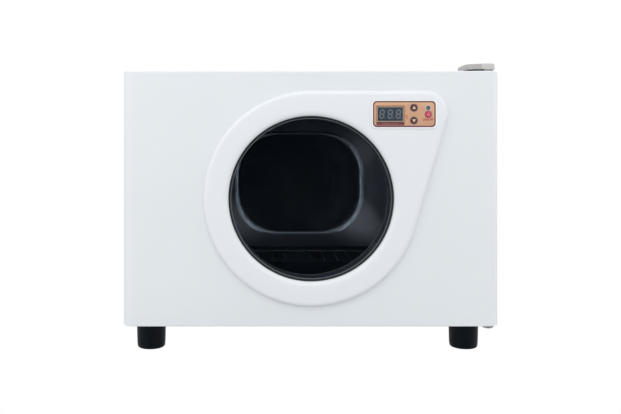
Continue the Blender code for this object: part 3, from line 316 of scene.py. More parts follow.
def carve(obj, *cutters, angle=35):
    """Cuts the cutters out of obj for good."""
    for cutter in cutters:
        modifier = obj.modifiers.new("cut", "BOOLEAN")
        modifier.operation = "DIFFERENCE"
        modifier.object = cutter
    graph = bpy.context.evaluated_depsgraph_get()
    mesh = bpy.data.meshes.new_from_object(obj.evaluated_get(graph))
    obj.modifiers.clear()
    obj.data = mesh
    mesh.shade_smooth()
    mesh.set_sharp_from_angle(angle=math.radians(angle))
    for cutter in cutters:
        bpy.data.objects.remove(cutter)
    return obj


def place(obj, body, slot, material, *replaced):
    """Gives a piece its material and its body, and hides the CAD nodes that it stands in for. slot is not
    used.
    """
    obj.data.materials.clear()
    obj.data.materials.append(material)
    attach(obj, body)
    if replaced:
        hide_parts(*replaced)
    return obj


# ---------------------------------------------------------------- materials


def map_range(nodes, links, value, source, target=(0, 1), smooth=False):
    """Maps value from one pair of ends to another."""
    made = nodes.new("ShaderNodeMapRange")
    if smooth:
        made.interpolation_type = "SMOOTHSTEP"
    for socket, end in zip(("From Min", "From Max", "To Min", "To Max"), (*source, *target)):
        made.inputs[socket].default_value = end
    links.new(value, made.inputs["Value"])
    return made.outputs["Result"]


class Surface:
    """A Principled material with helpers for procedural detail in the piece's own coordinates."""

    def __init__(self, name, colour, roughness, metallic=0.0, **sockets):
        self.material = bpy.data.materials.new(name)
        self.material.use_nodes = True
        self.nodes = self.material.node_tree.nodes
        self.links = self.material.node_tree.links
        self.shader = self.nodes["Principled BSDF"]
        self.coords = self.nodes.new("ShaderNodeTexCoord").outputs["Object"]
        self.colour = colour
        self.set("Base Color", (*colour, 1))
        self.set("Roughness", roughness)
        self.set("Metallic", metallic)
        for socket, value in sockets.items():
            self.set(socket.replace("_", " "), value)
        self.bump = None

    def set(self, socket, value):
        self.shader.inputs[socket].default_value = value

    def noise(self, scale, detail=3, stretch=(1, 1, 1)):
        mapping = self.nodes.new("ShaderNodeMapping")
        mapping.inputs["Scale"].default_value = stretch
        self.links.new(self.coords, mapping.inputs["Vector"])
        made = self.nodes.new("ShaderNodeTexNoise")
        made.inputs["Scale"].default_value = scale
        made.inputs["Detail"].default_value = detail
        self.links.new(mapping.outputs["Vector"], made.inputs["Vector"])
        return made.outputs["Fac"]

    def spread(self, value, low, high):
        """Maps the middle of a noise to low..high."""
        return map_range(self.nodes, self.links, value, (0.3, 0.7), (low, high))

    def blend(self, factor, first, second):
        """Makes the colour a mix of two, the first where factor is 0 and the second where it is 1."""
        mix = self.nodes.new("ShaderNodeMix")
        mix.data_type = "RGBA"
        mix.inputs[6].default_value = (*first, 1)
        mix.inputs[7].default_value = (*second, 1)
        self.links.new(factor, mix.inputs[0])
        self.links.new(mix.outputs[2], self.shader.inputs["Base Color"])
        return self

    def tint(self, scale, amount, detail=3, stretch=(1, 1, 1)):
        """Varies the colour's brightness by amount."""
        darker = [c * (1 - amount) for c in self.colour]
        lighter = [min(1, c * (1 + amount)) for c in self.colour]
        return self.blend(self.spread(self.noise(scale, detail, stretch), 0, 1), darker, lighter)

    def fade(self, z_low, z_high, low_colour):
        """Turns the colour into low_colour from the height z_high down to z_low."""
        split = self.nodes.new("ShaderNodeSeparateXYZ")
        self.links.new(self.coords, split.inputs["Vector"])
        height = map_range(self.nodes, self.links, split.outputs["Z"], (z_low, z_high), smooth=True)
        return self.blend(height, low_colour, self.colour)

    def vary_roughness(self, scale, low, high, stretch=(1, 1, 1)):
        varied = self.spread(self.noise(scale, 2, stretch), low, high)
        self.links.new(varied, self.shader.inputs["Roughness"])
        return self

    def grain(self, scale, depth, strength=0.4, detail=2, stretch=(1, 1, 1)):
        """Adds fine relief, depth metres high, on top of any already there."""
        made = self.nodes.new("ShaderNodeBump")
        made.inputs["Distance"].default_value = depth
        made.inputs["Strength"].default_value = strength
        self.links.new(self.noise(scale, detail, stretch), made.inputs["Height"])
        if self.bump is not None:
            self.links.new(self.bump, made.inputs["Normal"])
        self.bump = made.outputs["Normal"]
        self.links.new(self.bump, self.shader.inputs["Normal"])
        return self


def srgb(red, green, blue):
    """A linear colour from display values of 0 to 255."""
    return tuple(
        c / 12.92 if c <= 0.04045 else ((c + 0.055) / 1.055) ** 2.4
        for c in (red / 255, green / 255, blue / 255)
    )


def add_surface(name, *args, **sockets):
    surface = Surface(name, *args, **sockets)
    M[name] = surface.material
    return surface


def make_paints_and_plastics():
    add = add_surface
    coat = add("powder_coat", srgb(229, 233, 236), 0.36).tint(7, 0.012).vary_roughness(30, 0.32, 0.4)
    coat.grain(900, 0.00003, 0.35).grain(120, 0.00006, 0.12)
    satin = add("satin_white", srgb(231, 234, 238), 0.4, Specular_IOR_Level=0.25).tint(3, 0.004)
    satin.vary_roughness(60, 0.38, 0.42).grain(1400, 0.000006, 0.12)
    add("bright_white", srgb(255, 255, 255), 0.3).tint(40, 0.002).grain(900, 0.000005, 0.12)
    light_grey = add("light_grey_plastic", srgb(197, 194, 189), 0.4).tint(60, 0.02)
    light_grey.vary_roughness(80, 0.36, 0.46).grain(1500, 0.00003, 0.3)
    grey = add("grey_plastic", srgb(168, 168, 166), 0.42).tint(60, 0.03)
    grey.vary_roughness(80, 0.38, 0.48).grain(1500, 0.00003, 0.3)
    black = add("black_plastic", srgb(28, 29, 32), 0.42).tint(120, 0.15)
    black.vary_roughness(90, 0.36, 0.5).grain(1800, 0.00004, 0.35)
    add("tunnel_plastic", srgb(84, 92, 102), 0.4).tint(120, 0.06)
    rubber = add("black_rubber", srgb(3, 12, 21), 0.42, Specular_IOR_Level=0.14).tint(70, 0.2)
    rubber.vary_roughness(110, 0.36, 0.5).grain(1400, 0.00004, 0.3)
    add("seal_rubber", srgb(14, 16, 20), 0.45).tint(150, 0.15).vary_roughness(200, 0.38, 0.55)
    gasket = add("gasket_rubber", srgb(205, 207, 208), 0.6).tint(50, 0.03)
    gasket.vary_roughness(120, 0.5, 0.7).grain(1200, 0.00003, 0.3)
    add("sand_plastic", srgb(176, 160, 138), 0.4).tint(80, 0.04)
    add("red_plastic", srgb(198, 54, 74), 0.36).tint(200, 0.05).vary_roughness(300, 0.24, 0.38)
    add("maroon_plastic", srgb(84, 44, 54), 0.32).tint(200, 0.08).vary_roughness(300, 0.26, 0.4)
    add("wool", srgb(214, 200, 150), 0.95).tint(60, 0.2, 6).grain(260, 0.002, 0.8, 6)
    add("silicone", srgb(168, 72, 44), 0.6).tint(80, 0.08).grain(900, 0.0001, 0.4)
    add("circuit_board", srgb(20, 92, 56), 0.45).tint(300, 0.25, 4).grain(700, 0.00006, 0.4)
    # Painted shade: a dark colour for the sheet that stands in for the shade behind the back vents.
    add("painted_dark_inside", srgb(34, 36, 40), 0.6).tint(60, 0.1)


def make_metals_and_glass():
    add = add_surface
    # Painted highlight: a lighter slate colour for the band along the window seal's inner edge.
    add("seal_edge_painted_highlight", srgb(104, 114, 122), 0.35, 0.3).tint(200, 0.08)
    add("tinted_glass", (0.0012, 0.0028, 0.0055), 0.04, Alpha=0.28, Specular_IOR_Level=0.06)
    add("clear_glass", (0.05, 0.06, 0.065), 0.03, Alpha=0.06, Specular_IOR_Level=0.2)
    liner = add("liner_metal", srgb(206, 215, 230), 0.32, 0.6).vary_roughness(40, 0.3, 0.35)
    # Painted shade: the tub's metal turns darker from below the window down to its floor.
    liner.fade(LINER_LOW.z, WINDOW_Z - 30 * MM, srgb(120, 127, 138))
    # Painted shade: a darker, glossier copy of the liner's metal for the bend and the oval back.
    add("liner_back_painted_shade", srgb(166, 178, 194), 0.2, 1.0).tint(12, 0.02).vary_roughness(40, 0.18, 0.22)
    # Painted shade: the tray's metal is given a dark colour for the shade that it lies in at the chamber's
    # floor.
    tray = add("tray_painted_shade_metal", srgb(66, 72, 80), 0.3, 1.0).tint(30, 0.04)
    tray.vary_roughness(60, 0.26, 0.38).grain(700, 0.00002, 0.2, stretch=(8, 1, 1))
    add("chrome", srgb(104, 108, 114), 0.16, 1.0).vary_roughness(200, 0.08, 0.18)
    add("zinc", srgb(178, 180, 180), 0.32, 1.0).tint(160, 0.08).vary_roughness(220, 0.24, 0.42)


def make_panel_colours():
    add = add_surface
    film = add("copper_film", srgb(212, 165, 132), 0.4, 0.15).tint(30, 0.02)
    film.vary_roughness(60, 0.32, 0.42).grain(2500, 0.00001, 0.25, stretch=(1, 1, 12))
    # Painted shadow: a darker copper for the band round the display.
    add("copper_painted_shadow", srgb(186, 134, 106), 0.4, 0.2).tint(40, 0.03)
    border = add("brown_ink", srgb(122, 84, 78), 0.42)
    border.fade(PANEL.z - 14 * MM, PANEL.z - 8 * MM, srgb(112, 72, 86))
    add("maroon_ink", srgb(126, 72, 74), 0.42)
    add("display_lens", srgb(50, 63, 76), 0.38, Specular_IOR_Level=0.2).tint(60, 0.1)
    add("dark_segment", srgb(108, 112, 116), 0.35).tint(300, 0.05)
    add("slate_lens", srgb(76, 94, 110), 0.16, Coat_Weight=0.4).tint(200, 0.08)
    # Painted shade for the top of the maroon strip under the display.
    add("maroon_painted_shade", srgb(84, 42, 52), 0.42).tint(200, 0.05)
    for name, colour, roughness in (
        ("red_ink", (204, 70, 66), 0.4),
        ("crimson_ink", (190, 62, 72), 0.4),
        # painted shadow round the buttons
        ("button_ring_painted_shadow", (160, 126, 124), 0.42),
        ("pale_halo_ink", (206, 200, 202), 0.4),
        ("beige_ink", (226, 194, 160), 0.4),
        ("pink_ink", (232, 150, 196), 0.35),
        ("rose_ink", (168, 112, 110), 0.4),
    ):
        add(name, srgb(*colour), roughness).tint(200, 0.04)


M = {}  # every material, by name
make_paints_and_plastics()
make_metals_and_glass()
make_panel_colours()


# ---------------------------------------------------------------- the door


def door_plan(inset, back, steps=16):
    half = HALF_WIDTH - inset
    turn = DOOR_CORNER - inset
    front = FACE_Y + inset + turn
    left = arc((-half + turn, front), turn, 2 * QUARTER, 3 * QUARTER, steps)
    right = arc((half - turn, front), turn, 3 * QUARTER, 4 * QUARTER, steps)
    return [(-half, back), *left, *right, (half, back)]


def pull_outline(grow):
    """The finger pull's outline in y and z."""
    low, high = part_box("finger_pull")
    half_deep, half_tall, corner = PULL_CUP
    centre = ((low.y + high.y) / 2, (low.z + high.z) / 2)
    return rounded(half_deep + grow, half_tall + grow, corner + grow, centre)


def make_door_shell():
    """The sheet wrap, cut for the window and the finger pull, with the pull's cup and two end caps."""
    outline = door_plan(0, DOOR_BACK) + door_plan(SHEET, DOOR_BACK)[::-1]
    wrap = prism("door_wrap", outline, CAP_LOW.z + CAP_LIP, CAP_HIGH.z - CAP_LIP, on_xy)
    hole = circle(WINDOW_R + 5 * MM, (0, WINDOW_Z))
    window = prism("window_cut", hole, FACE_Y - 5 * MM, FACE_Y + 5 * MM)
    pull = prism("pull_cut", pull_outline(0), -HALF_WIDTH - 3 * MM, -HALF_WIDTH + 3 * MM, on_yz)
    place(carve(wrap, window, pull), "door", "white_enamel", M["powder_coat"], "door_skin")
    make_pull_cup()
    make_end_cap("top_end_cap", "door_top_cap", CAP_HIGH.z, 1)
    make_end_cap("bottom_end_cap", "door_bottom_cap", CAP_LOW.z, -1)


def make_pull_cup():
    """A cup with a filleted floor, and a flange behind the door's edge."""
    edge = -HALF_WIDTH + SHEET
    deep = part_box("finger_pull")[1].x + HALF_WIDTH - 1.6 * MM
    wall, fillet = 1.2 * MM, 3 * MM
    flange, flange_back = 2.4 * MM, edge + 1.4 * MM
    profile = [
        (-wall - fillet * (1 - cosine), edge + deep - 2 * MM - fillet * (1 - sine))
        for sine, cosine in quarter_turn(5)[::-1]
    ]
    profile += [
        (0, edge),
        (flange, edge),
        (flange, flange_back),
        (0.6 * MM, flange_back),
        (0, edge + deep - 1 * MM),
    ]
    rings = [on_yz(pull_outline(grow), x) for grow, x in profile]
    place(skin("pull_cup", rings), "door", "white_plastic", M["satin_white"], "finger_pull")


def make_end_cap(name, node, edge, side):
    """A moulded cap: a lip with softened edges, and a plug inside the wrap with the pivot's bore."""
    face = edge - side * CAP_LIP
    soft, plug_gap, plug_deep = 1.2 * MM, 0.3 * MM, 7 * MM
    plug_back = DOOR_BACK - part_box("door_liner")[0].y + 0.4 * MM
    bore_r, reach = 5.5 * MM, 20 * MM

    def ring(inset, z, back_inset=0.0):
        return on_xy(door_plan(inset, DOOR_BACK - back_inset), z)

    rings = [ring(inset, z, inset) for inset, z in round_edge(soft, 0, edge, side, 3)[::-1]]
    rings.append(ring(0, face))
    rings += [ring(SHEET + plug_gap, z, plug_back) for z in (face, face - side * plug_deep)]
    cap = skin(name, rings)
    bore = prism(name + "_bore", circle(bore_r, PIVOT_XY, 32), edge - reach, edge + reach, on_xy)
    place(carve(cap, bore), "door", "white_plastic", M["satin_white"], node)


def make_door_inner():
    """The inner panel: a flat border, a raised field and a hole for the window."""
    low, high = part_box("door_liner")
    outline = rect(high.x, (high.z - low.z) / 2, 2 * MM, (0, (high.z + low.z) / 2))
    border, rise = 29.5 * MM, 2 * MM
    profile = [(0, low.y), *round_edge(0.8 * MM, 0, high.y, 1), (border - 0.5 * MM, high.y)]
    profile += [
        (border + rise * (1 - cosine), high.y + rise * sine) for sine, cosine in quarter_turn(5)[1:]
    ]
    liner = moulded("door_inner_panel", outline, profile, on_xz)
    hole = circle(102.4 * MM, (0, WINDOW_Z))
    cutter = prism("inner_hole", hole, low.y - 5 * MM, high.y + rise + 5 * MM)
    place(carve(liner, cutter), "door", "white_plastic", M["satin_white"], "door_liner")
    make_gasket()


def make_gasket():
    """A magnetic door gasket: a flat base, a bellows fold and a rounded sealing face."""
    low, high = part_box("door_gasket")
    half_z = (high.z - low.z) / 2
    centre = (0, (low.z + high.z) / 2)
    section = [  # inset in millimetres, share of the depth
        (0.5, 0), (0, 0.08), (0.4, 0.2), (1.9, 0.3), (2.3, 0.4), (1.6, 0.5), (0.2, 0.6), (0, 0.75),
        (0.5, 0.93), (1.6, 1), (11.5, 1), (13, 0.93), (13.5, 0.75), (13.2, 0.55), (12, 0.5), (12, 0.4),
        (13.2, 0.3), (13.6, 0.15), (13.2, 0),
    ]
    rings = []
    for inset, share in section:
        corner = max(9 * MM - inset * MM * 0.5, 2 * MM)
        outline = rounded(high.x - inset * MM, half_z - inset * MM, corner, centre, 6)
        rings.append(on_xz(outline, low.y + share * (high.y - low.y)))
    place(skin("door_seal", rings, True, 50), "door", "gasket_rubber", M["gasket_rubber"], "door_gasket")


def polar(outline, angles):
    """Points where rays from the origin at the given angles meet a closed outline round it."""
    found = []
    size = len(outline)
    turns = [math.atan2(y, x) for x, y in outline]
    for angle in angles:
        ray = (math.cos(angle), math.sin(angle))
        best = 0
        for i in range(size):
            gap = (turns[(i + 1) % size] - turns[i]) % (2 * math.pi)
            if (angle - turns[i]) % (2 * math.pi) <= gap:
                best = i
                break
        (x0, y0), (x1, y1) = outline[best], outline[(best + 1) % size]
        dx, dy = x1 - x0, y1 - y0
        reach = (x0 * dy - y0 * dx) / (ray[0] * dy - ray[1] * dx)
        found.append((ray[0] * reach, ray[1] * reach))
    return found


def make_surround():
    """The teardrop surround: a rounded outer edge, a flat face and a rolled lip round the window."""
    low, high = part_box("window_surround")
    big = -low.x
    corner_r = 27 * MM
    corner_x = high.x - corner_r
    circles = [(0, 0, big), (corner_x, big - corner_r, corner_r)]
    towards = math.atan2(big - corner_r, corner_x)
    full_turn = 2 * math.pi - 1e-6  # leaves out a last ray that would lie on the first
    angles = []
    angle = 0.0
    while angle < full_turn:
        angles.append(angle)
        away = (angle - towards + math.pi) % (2 * math.pi) - math.pi
        angle += math.radians(0.75 if abs(away) < math.radians(16) else 1.5)

    def teardrop(inset, rise):
        outline = polar(hull(circles, inset, math.radians(1.5)), angles)
        return on_xz([(x, z + WINDOW_Z) for x, z in outline], FACE_Y - rise)

    def bore(radius, depth):
        return [(radius * math.cos(a), FACE_Y + depth, WINDOW_Z + radius * math.sin(a)) for a in angles]

    edge, wall = 5.5 * MM, 1 * MM
    lip_wide, lip_deep = 7 * MM, 3.8 * MM
    turns = quarter_turn(8)
    rings = [teardrop(0, 0)]
    for sine, cosine in turns:
        rings.append(teardrop(edge * (1 - cosine), wall + (SURROUND_RISE - wall) * sine))
    rings.append(bore(WINDOW_R + lip_wide + 1.5 * MM, -SURROUND_RISE))
    for sine, cosine in turns:
        rings.append(bore(WINDOW_R + lip_wide * (1 - sine), -SURROUND_RISE + lip_deep * (1 - cosine)))
    for grow, depth in ((0, 1), (4, 1), (4, 11), (4.8, 11), (4.8, 0)):
        rings.append(bore(WINDOW_R + grow * MM, depth * MM))
    body = skin("teardrop_surround", rings, True, 30)
    gap = 0.25 * MM
    half_x, half_z = half_xz("display_frame")
    pocket = rounded(half_x + gap, half_z + gap, 6.6 * MM, PANEL_XZ, 8)
    recess = prism("recess_cut", pocket, FACE_Y - 9 * MM, FACE_Y - 3.6 * MM)
    through = block("through_cut", (PANEL.x - 36 * MM, FACE_Y - 6 * MM, PANEL.z - 13.8 * MM),
                    (PANEL.x + 36 * MM, FACE_Y + 6 * MM, PANEL.z + 13.8 * MM), 0)
    body = carve(body, recess, through, angle=30)
    place(body, "door", "white_plastic", M["satin_white"], "window_surround")


def turned_y(name, profile, steps=128, angle=35, joined=True):
    """A (radius, y) profile turned about the window's axis."""
    rings = [on_xz(circle(radius, (0, WINDOW_Z), steps), y) for radius, y in profile]
    return skin(name, rings, joined, angle)


def make_pane(name, node, look, steps):
    """A disc of glass with chamfered edges."""
    low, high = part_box(node)
    profile = [
        (high.x - PANE_CHAMFER, low.y),
        (high.x, low.y + PANE_CHAMFER),
        (high.x, high.y - PANE_CHAMFER),
        (high.x - PANE_CHAMFER, high.y),
    ]
    place(turned_y(name, profile, steps, 25, False), "door", look, M[look], node)


def make_window_seal():
    """A rubber channel round the outer pane with a rolled front lip, and a thin lighter band inside it: a
    painted highlight along the seal's inner edge.
    """
    glass_low, glass_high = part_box("outer_window_glass")
    low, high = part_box("window_seal")
    lip, lip_deep, gap = 1 * MM, 0.7 * MM, 0.1 * MM
    front, back, groove = glass_low.y - gap, glass_high.y + gap, glass_high.x + gap
    profile = [(high.x, high.y), (high.x, low.y)]
    profile += [
        (SEAL_BORE_R + lip * (1 - sine), low.y + lip_deep * (1 - cosine))
        for sine, cosine in quarter_turn(5)
    ]
    profile += [
        (SEAL_BORE_R, front),
        (groove, front),
        (groove, back),
        (SEAL_BORE_R, back),
        (SEAL_BORE_R, high.y),
    ]
    place(turned_y("glass_seal", profile, 160), "door", "black_rubber", M["seal_rubber"], "window_seal")
    # The band is a painted highlight in a lighter slate colour.
    section = ((0.1, 0), (0.2, 0.4), (0.6, 0.55), (1, 0.4), (1.1, 0))  # millimetres in, and in front
    band = [(SEAL_BORE_R - inward * MM, glass_low.y - rise * MM) for inward, rise in section]
    place(turned_y("glass_edge_band", band, 160), "door", "dark_plastic", M["seal_edge_painted_highlight"])


def make_window_tunnel():
    low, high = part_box("window_tunnel")
    outer, flange_back = TUNNEL_R + 2.2 * MM, low.y + 2 * MM
    profile = [
        (TUNNEL_R, high.y),
        (outer, high.y),
        (outer, flange_back),
        (high.x, flange_back),
        (high.x, low.y),
        (TUNNEL_R, low.y),
    ]
    place(turned_y("glass_tunnel", profile), "door", "dark_plastic", M["tunnel_plastic"], "window_tunnel")


def make_pane_ring():
    """The ring that holds the inner pane, with a rounded edge on each side."""
    low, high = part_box("inner_window_ring")
    turns = quarter_turn(4)
    profile = [(PANE_RING_R, low.y)]
    profile += [(PANE_RING_R + 2 * MM * (1 - c), high.y - 1.2 * MM * (1 - s)) for s, c in turns]
    profile += [(high.x - 3 * MM * (1 - s), high.y - 1.6 * MM * (1 - c)) for s, c in turns]
    profile.append((high.x, low.y))
    ring = turned_y("clear_pane_ring", profile)
    place(ring, "door", "white_plastic", M["satin_white"], "inner_window_ring")


def make_window():
    make_pane("tinted_pane", "outer_window_glass", "tinted_glass", 160)
    make_window_seal()
    make_window_tunnel()
    make_pane("clear_pane", "inner_window_glass", "clear_glass", 128)
    make_pane_ring()


# ---------------------------------------------------------------- the control panel


def flat(name, outline, front, thickness, material, slot="copper_film", body="door"):
    """A thin flat piece in the panel's plane, from an outline in x and z: a print, or painted shade."""
    place(prism(name, outline, front + thickness, front), body, slot, material)


def strip(points, width):
    """The outline of a stroke of constant width along points."""
    left, right = [], []
    for i, (x, y) in enumerate(points):
        (ax, ay), (bx, by) = points[max(i - 1, 0)], points[min(i + 1, len(points) - 1)]
        away = math.hypot(bx - ax, by - ay)
        nx, ny = -(by - ay) / away * width / 2, (bx - ax) / away * width / 2
        left.append((x + nx, y + ny))
        right.append((x - nx, y - ny))
    return left + right[::-1]


def segment_outlines(centre_x, centre_z, height, slant):
    """The seven strokes of a numeral, leaning to the right."""
    half_w, half_h, bar = height * DIGIT_HALF_WIDTH, height / 2, height * 0.135
    gap = bar * 0.12

    def horizontal(z):
        reach = half_w - gap
        return [(-reach, z), (-reach + bar / 2, z + bar / 2), (reach - bar / 2, z + bar / 2), (reach, z),
                (reach - bar / 2, z - bar / 2), (-reach + bar / 2, z - bar / 2)]

    def upright(x, z0, z1):
        z0, z1 = z0 + gap, z1 - gap
        return [(x, z0), (x + bar / 2, z0 + bar / 2), (x + bar / 2, z1 - bar / 2), (x, z1),
                (x - bar / 2, z1 - bar / 2), (x - bar / 2, z0 + bar / 2)]

    top = half_h - bar / 2
    strokes = [horizontal(z) for z in (top, 0, -top)]
    strokes += [upright(x, *ends) for x in (-half_w, half_w) for ends in ((0, top), (-top, 0))]
    return [[(centre_x + x + z * slant, centre_z + z) for x, z in stroke] for stroke in strokes]


def cap_radius(button):
    """The radius of a button's cap, which stands on a wider flange."""
    return half_xz(button)[0] - BUTTON_FLANGE


def make_panel():
    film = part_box("control_overlay")[0].y
    make_panel_frame()
    make_overlay(film)
    make_display(film)
    make_marks(film)
    for button in BUTTONS:
        make_button(button, "red_plastic" if button == "power_button" else "maroon_plastic")
    make_indicator(film)


def make_panel_frame():
    low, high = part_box("display_frame")
    half_x, half_z = half_xz("display_frame")
    wide = half_x - half_xz("control_overlay")[0] - 0.1 * MM
    soft = 0.3 * MM
    profile = [(0, high.y), *round_edge(soft, 0, low.y, -1, 4)]
    profile += [(wide - soft * (1 - s), low.y + soft * (1 - c)) for s, c in quarter_turn(4)]
    profile.append((wide, high.y))
    outline = rect(half_x, half_z, 6.4 * MM, PANEL_XZ, 12)
    piece = moulded("panel_frame", outline, profile, on_xz, True)
    place(piece, "door", "white_plastic", M["bright_white"], "display_frame")


def drilled(piece, film):
    """Cuts the display's, the buttons' and the lamp's holes through a layer of the overlay."""
    gap = 0.2 * MM
    half_x, half_z = half_xz("led_display")
    outlines = [rounded(half_x + gap, half_z + gap, 0.5 * MM, middle_xz("led_display"), 3)]
    outlines += [circle(cap_radius(button) + 0.25 * MM, middle_xz(button), 48) for button in BUTTONS]
    outlines.append(circle(half_xz("status_led")[0] + gap, middle_xz("status_led"), 40))
    cutters = [
        prism(f"{piece.name}_hole_{i}", outline, film - 3 * MM, film + 6 * MM)
        for i, outline in enumerate(outlines)
    ]
    return carve(piece, *cutters)


def make_overlay(film):
    """The printed overlay: a brown border, and a copper field in front of it."""
    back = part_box("control_overlay")[1].y
    half_x, half_z = half_xz("control_overlay")
    outline = rounded(half_x, half_z, 4.8 * MM, PANEL_XZ, 12)
    border = prism("panel_border", outline, back, film + 0.08 * MM)
    place(drilled(border, film), "door", "copper_film", M["brown_ink"], "control_overlay")
    margin = 1.6 * MM
    field = moulded("panel_field", rect(half_x - margin, half_z - margin, 3.6 * MM, PANEL_XZ, 12),
                    [(0, film + 0.1 * MM), (0, film + 0.04 * MM), (0.06 * MM, film)], on_xz)
    place(drilled(field, film), "door", "copper_film", M["copper_film"])


def make_indicator(film):
    radius = half_xz("status_led")[0]
    dome = 0.7 * MM
    profile = [(0, film + 6 * MM), (0, film)]
    profile += [(radius * (1 - c), film - dome * s) for s, c in quarter_turn(5)[1:5]]
    profile.append((radius * 0.97, film - dome))
    lens = moulded("indicator_lens", disc(radius, middle_xz("status_led"), 40), profile, on_xz)
    place(lens, "door", "led_lens", M["slate_lens"], "status_led")


def make_display(film):
    """The numeric display: a sand-coloured frame and a dark lens, with its numerals, prints and painted
    shade.
    """
    low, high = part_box("led_display")
    face, back = low.y, high.y
    half_x, half_z = half_xz("led_display")
    centre = middle_xz("led_display")
    wall, soft = 1.2 * MM, 0.2 * MM
    profile = [
        (0, back),
        (0, face + 0.1 * MM),
        (soft, face),
        (wall - soft, face),
        (wall, face + 0.5 * MM),
        (wall, back),
    ]
    bezel = moulded("display_bezel", rect(half_x, half_z, 0.4 * MM, centre, 3), profile, on_xz, True)
    place(bezel, "door", "display_face", M["sand_plastic"], "led_display")
    lens = moulded("display_lens", rect(half_x - wall, half_z - wall, 0.3 * MM, centre, 3),
                   [(0, back - 0.5 * MM), (0, face + 0.35 * MM), (0.1 * MM, face + 0.3 * MM)], on_xz)
    place(lens, "door", "display_face", M["display_lens"])
    make_numerals(centre, face)
    make_display_prints_and_painted_shade(film)


def make_numerals(centre, face):
    """Three leaning numerals, each with a point, all unlit."""
    height, pitch, slant = 11.2 * MM, 9.8 * MM, 0.1
    point_x, point_z = height * DIGIT_HALF_WIDTH + 1.5 * MM, height / 2 - 0.7 * MM
    pieces = []
    for digit in (-1, 0, 1):
        x = centre[0] + digit * pitch - 0.1 * MM
        outlines = segment_outlines(x, centre[1], height, slant)
        outlines.append(circle(0.6 * MM, (x + point_x, centre[1] - point_z), 16))
        for i, outline in enumerate(outlines):
            pieces.append(prism(f"stroke_{digit}_{i}", outline, face + 0.3 * MM, face + 0.24 * MM))
    place(merged("display_segments", pieces), "door", "display_face", M["dark_segment"])


def make_display_prints_and_painted_shade(film):
    """A painted shadow round the display, and a dark strip below it with painted shade along its top and a
    generic caption.
    """
    half_x, half_z = half_xz("led_display")
    x, z = middle_xz("led_display")
    far, near = -1.3 * MM, -0.25 * MM
    back, front = film + 0.02 * MM, film - 0.03 * MM
    profile = [(far, back), (far, front), (near, front), (near, back)]
    # Painted shadow: a darker band of copper round the display's edge.
    shade = moulded("display_painted_shadow", rect(half_x, half_z, 0.4 * MM, (x, z), 4), profile, on_xz, True)
    place(shade, "door", "copper_film", M["copper_painted_shadow"])
    strip_half, strip_z, strip_front = 16.8 * MM, z - 11.7 * MM, film - 0.04 * MM
    outline = rounded(strip_half, 2 * MM, 0.5 * MM, (x, strip_z), 3)
    flat("display_strip", outline, strip_front, MARK_THICK, M["maroon_ink"])
    # Painted shade: a darker band along the strip's top, under the display.
    outline = rounded(strip_half, 0.85 * MM, 0.4 * MM, (x, strip_z + 1.15 * MM), 3)
    flat("display_strip_painted_shade", outline, film - 0.06 * MM, 0.04 * MM, M["maroon_painted_shade"])
    spot = (x - 0.6 * MM, film - 0.07 * MM, strip_z - 0.4 * MM)
    caption = print_text("strip_caption", "TEMPERATURE", 3 * MM, spot)
    place(caption, "door", "copper_film", M["rose_ink"])


def print_text(name, words, size, spot, bold=0.0):
    """Raised lettering that faces the front, centred on spot."""
    text = bpy.data.curves.new(name, "FONT")
    text.body = words
    text.size = size
    text.align_x = "CENTER"
    text.align_y = "CENTER"
    text.extrude = MARK_THICK / 2
    text.offset = bold
    lettering = as_mesh(text, name)
    lettering.rotation_euler = (QUARTER, 0, 0)
    lettering.location = spot
    return lettering


def flat_ring(name, centre, outer, width, front, steps=64):
    profile = [(0, front + MARK_THICK), (0, front), (width, front), (width, front + MARK_THICK)]
    return moulded(name, disc(outer, centre, steps), profile, on_xz, True)


def make_marks(film):
    """The marks: a printed degree sign with a C and a generic caption, rings of painted shadow round the
    buttons, and a printed ring round the lamp.
    """
    front = film - 0.04 * MM
    spot = (PANEL.x + 1.7 * MM, PANEL.z - 2.1 * MM)
    degree = flat_ring("degree_ring", spot, 0.8 * MM, 0.55 * MM, front, 24)
    turns = [math.radians(50 + 260 * i / 24) for i in range(25)]
    bow = [(3.7 * MM + 1.1 * MM * math.cos(t), -3.7 * MM + 1.6 * MM * math.sin(t)) for t in turns]
    letter = prism("letter_c", strip(around(PANEL_XZ, bow), 0.85 * MM), front + MARK_THICK, front)
    place(merged("temperature_sign", [degree, letter]), "door", "copper_film", M["red_ink"])
    spot = (PANEL.x + 28.5 * MM, front, PANEL.z - 6.7 * MM)
    caption = print_text("power_caption", "ON/OFF", 3.5 * MM, spot, 0.14 * MM)
    place(caption, "door", "copper_film", M["crimson_ink"])
    # Painted shadow: a darker ring round each button, where it meets its hole.
    for button, width in zip(BUTTONS, (0.85 * MM, 0.85 * MM, 0.9 * MM)):
        outer = cap_radius(button) + 0.3 * MM + width
        halo = flat_ring(button + "_halo", middle_xz(button), outer, width, front)
        place(halo, "door", "copper_film", M["button_ring_painted_shadow"])
    outer = half_xz("status_led")[0] + 0.8 * MM
    halo = flat_ring("indicator_halo", middle_xz("status_led"), outer, 0.55 * MM, front)
    place(halo, "door", "copper_film", M["pale_halo_ink"])


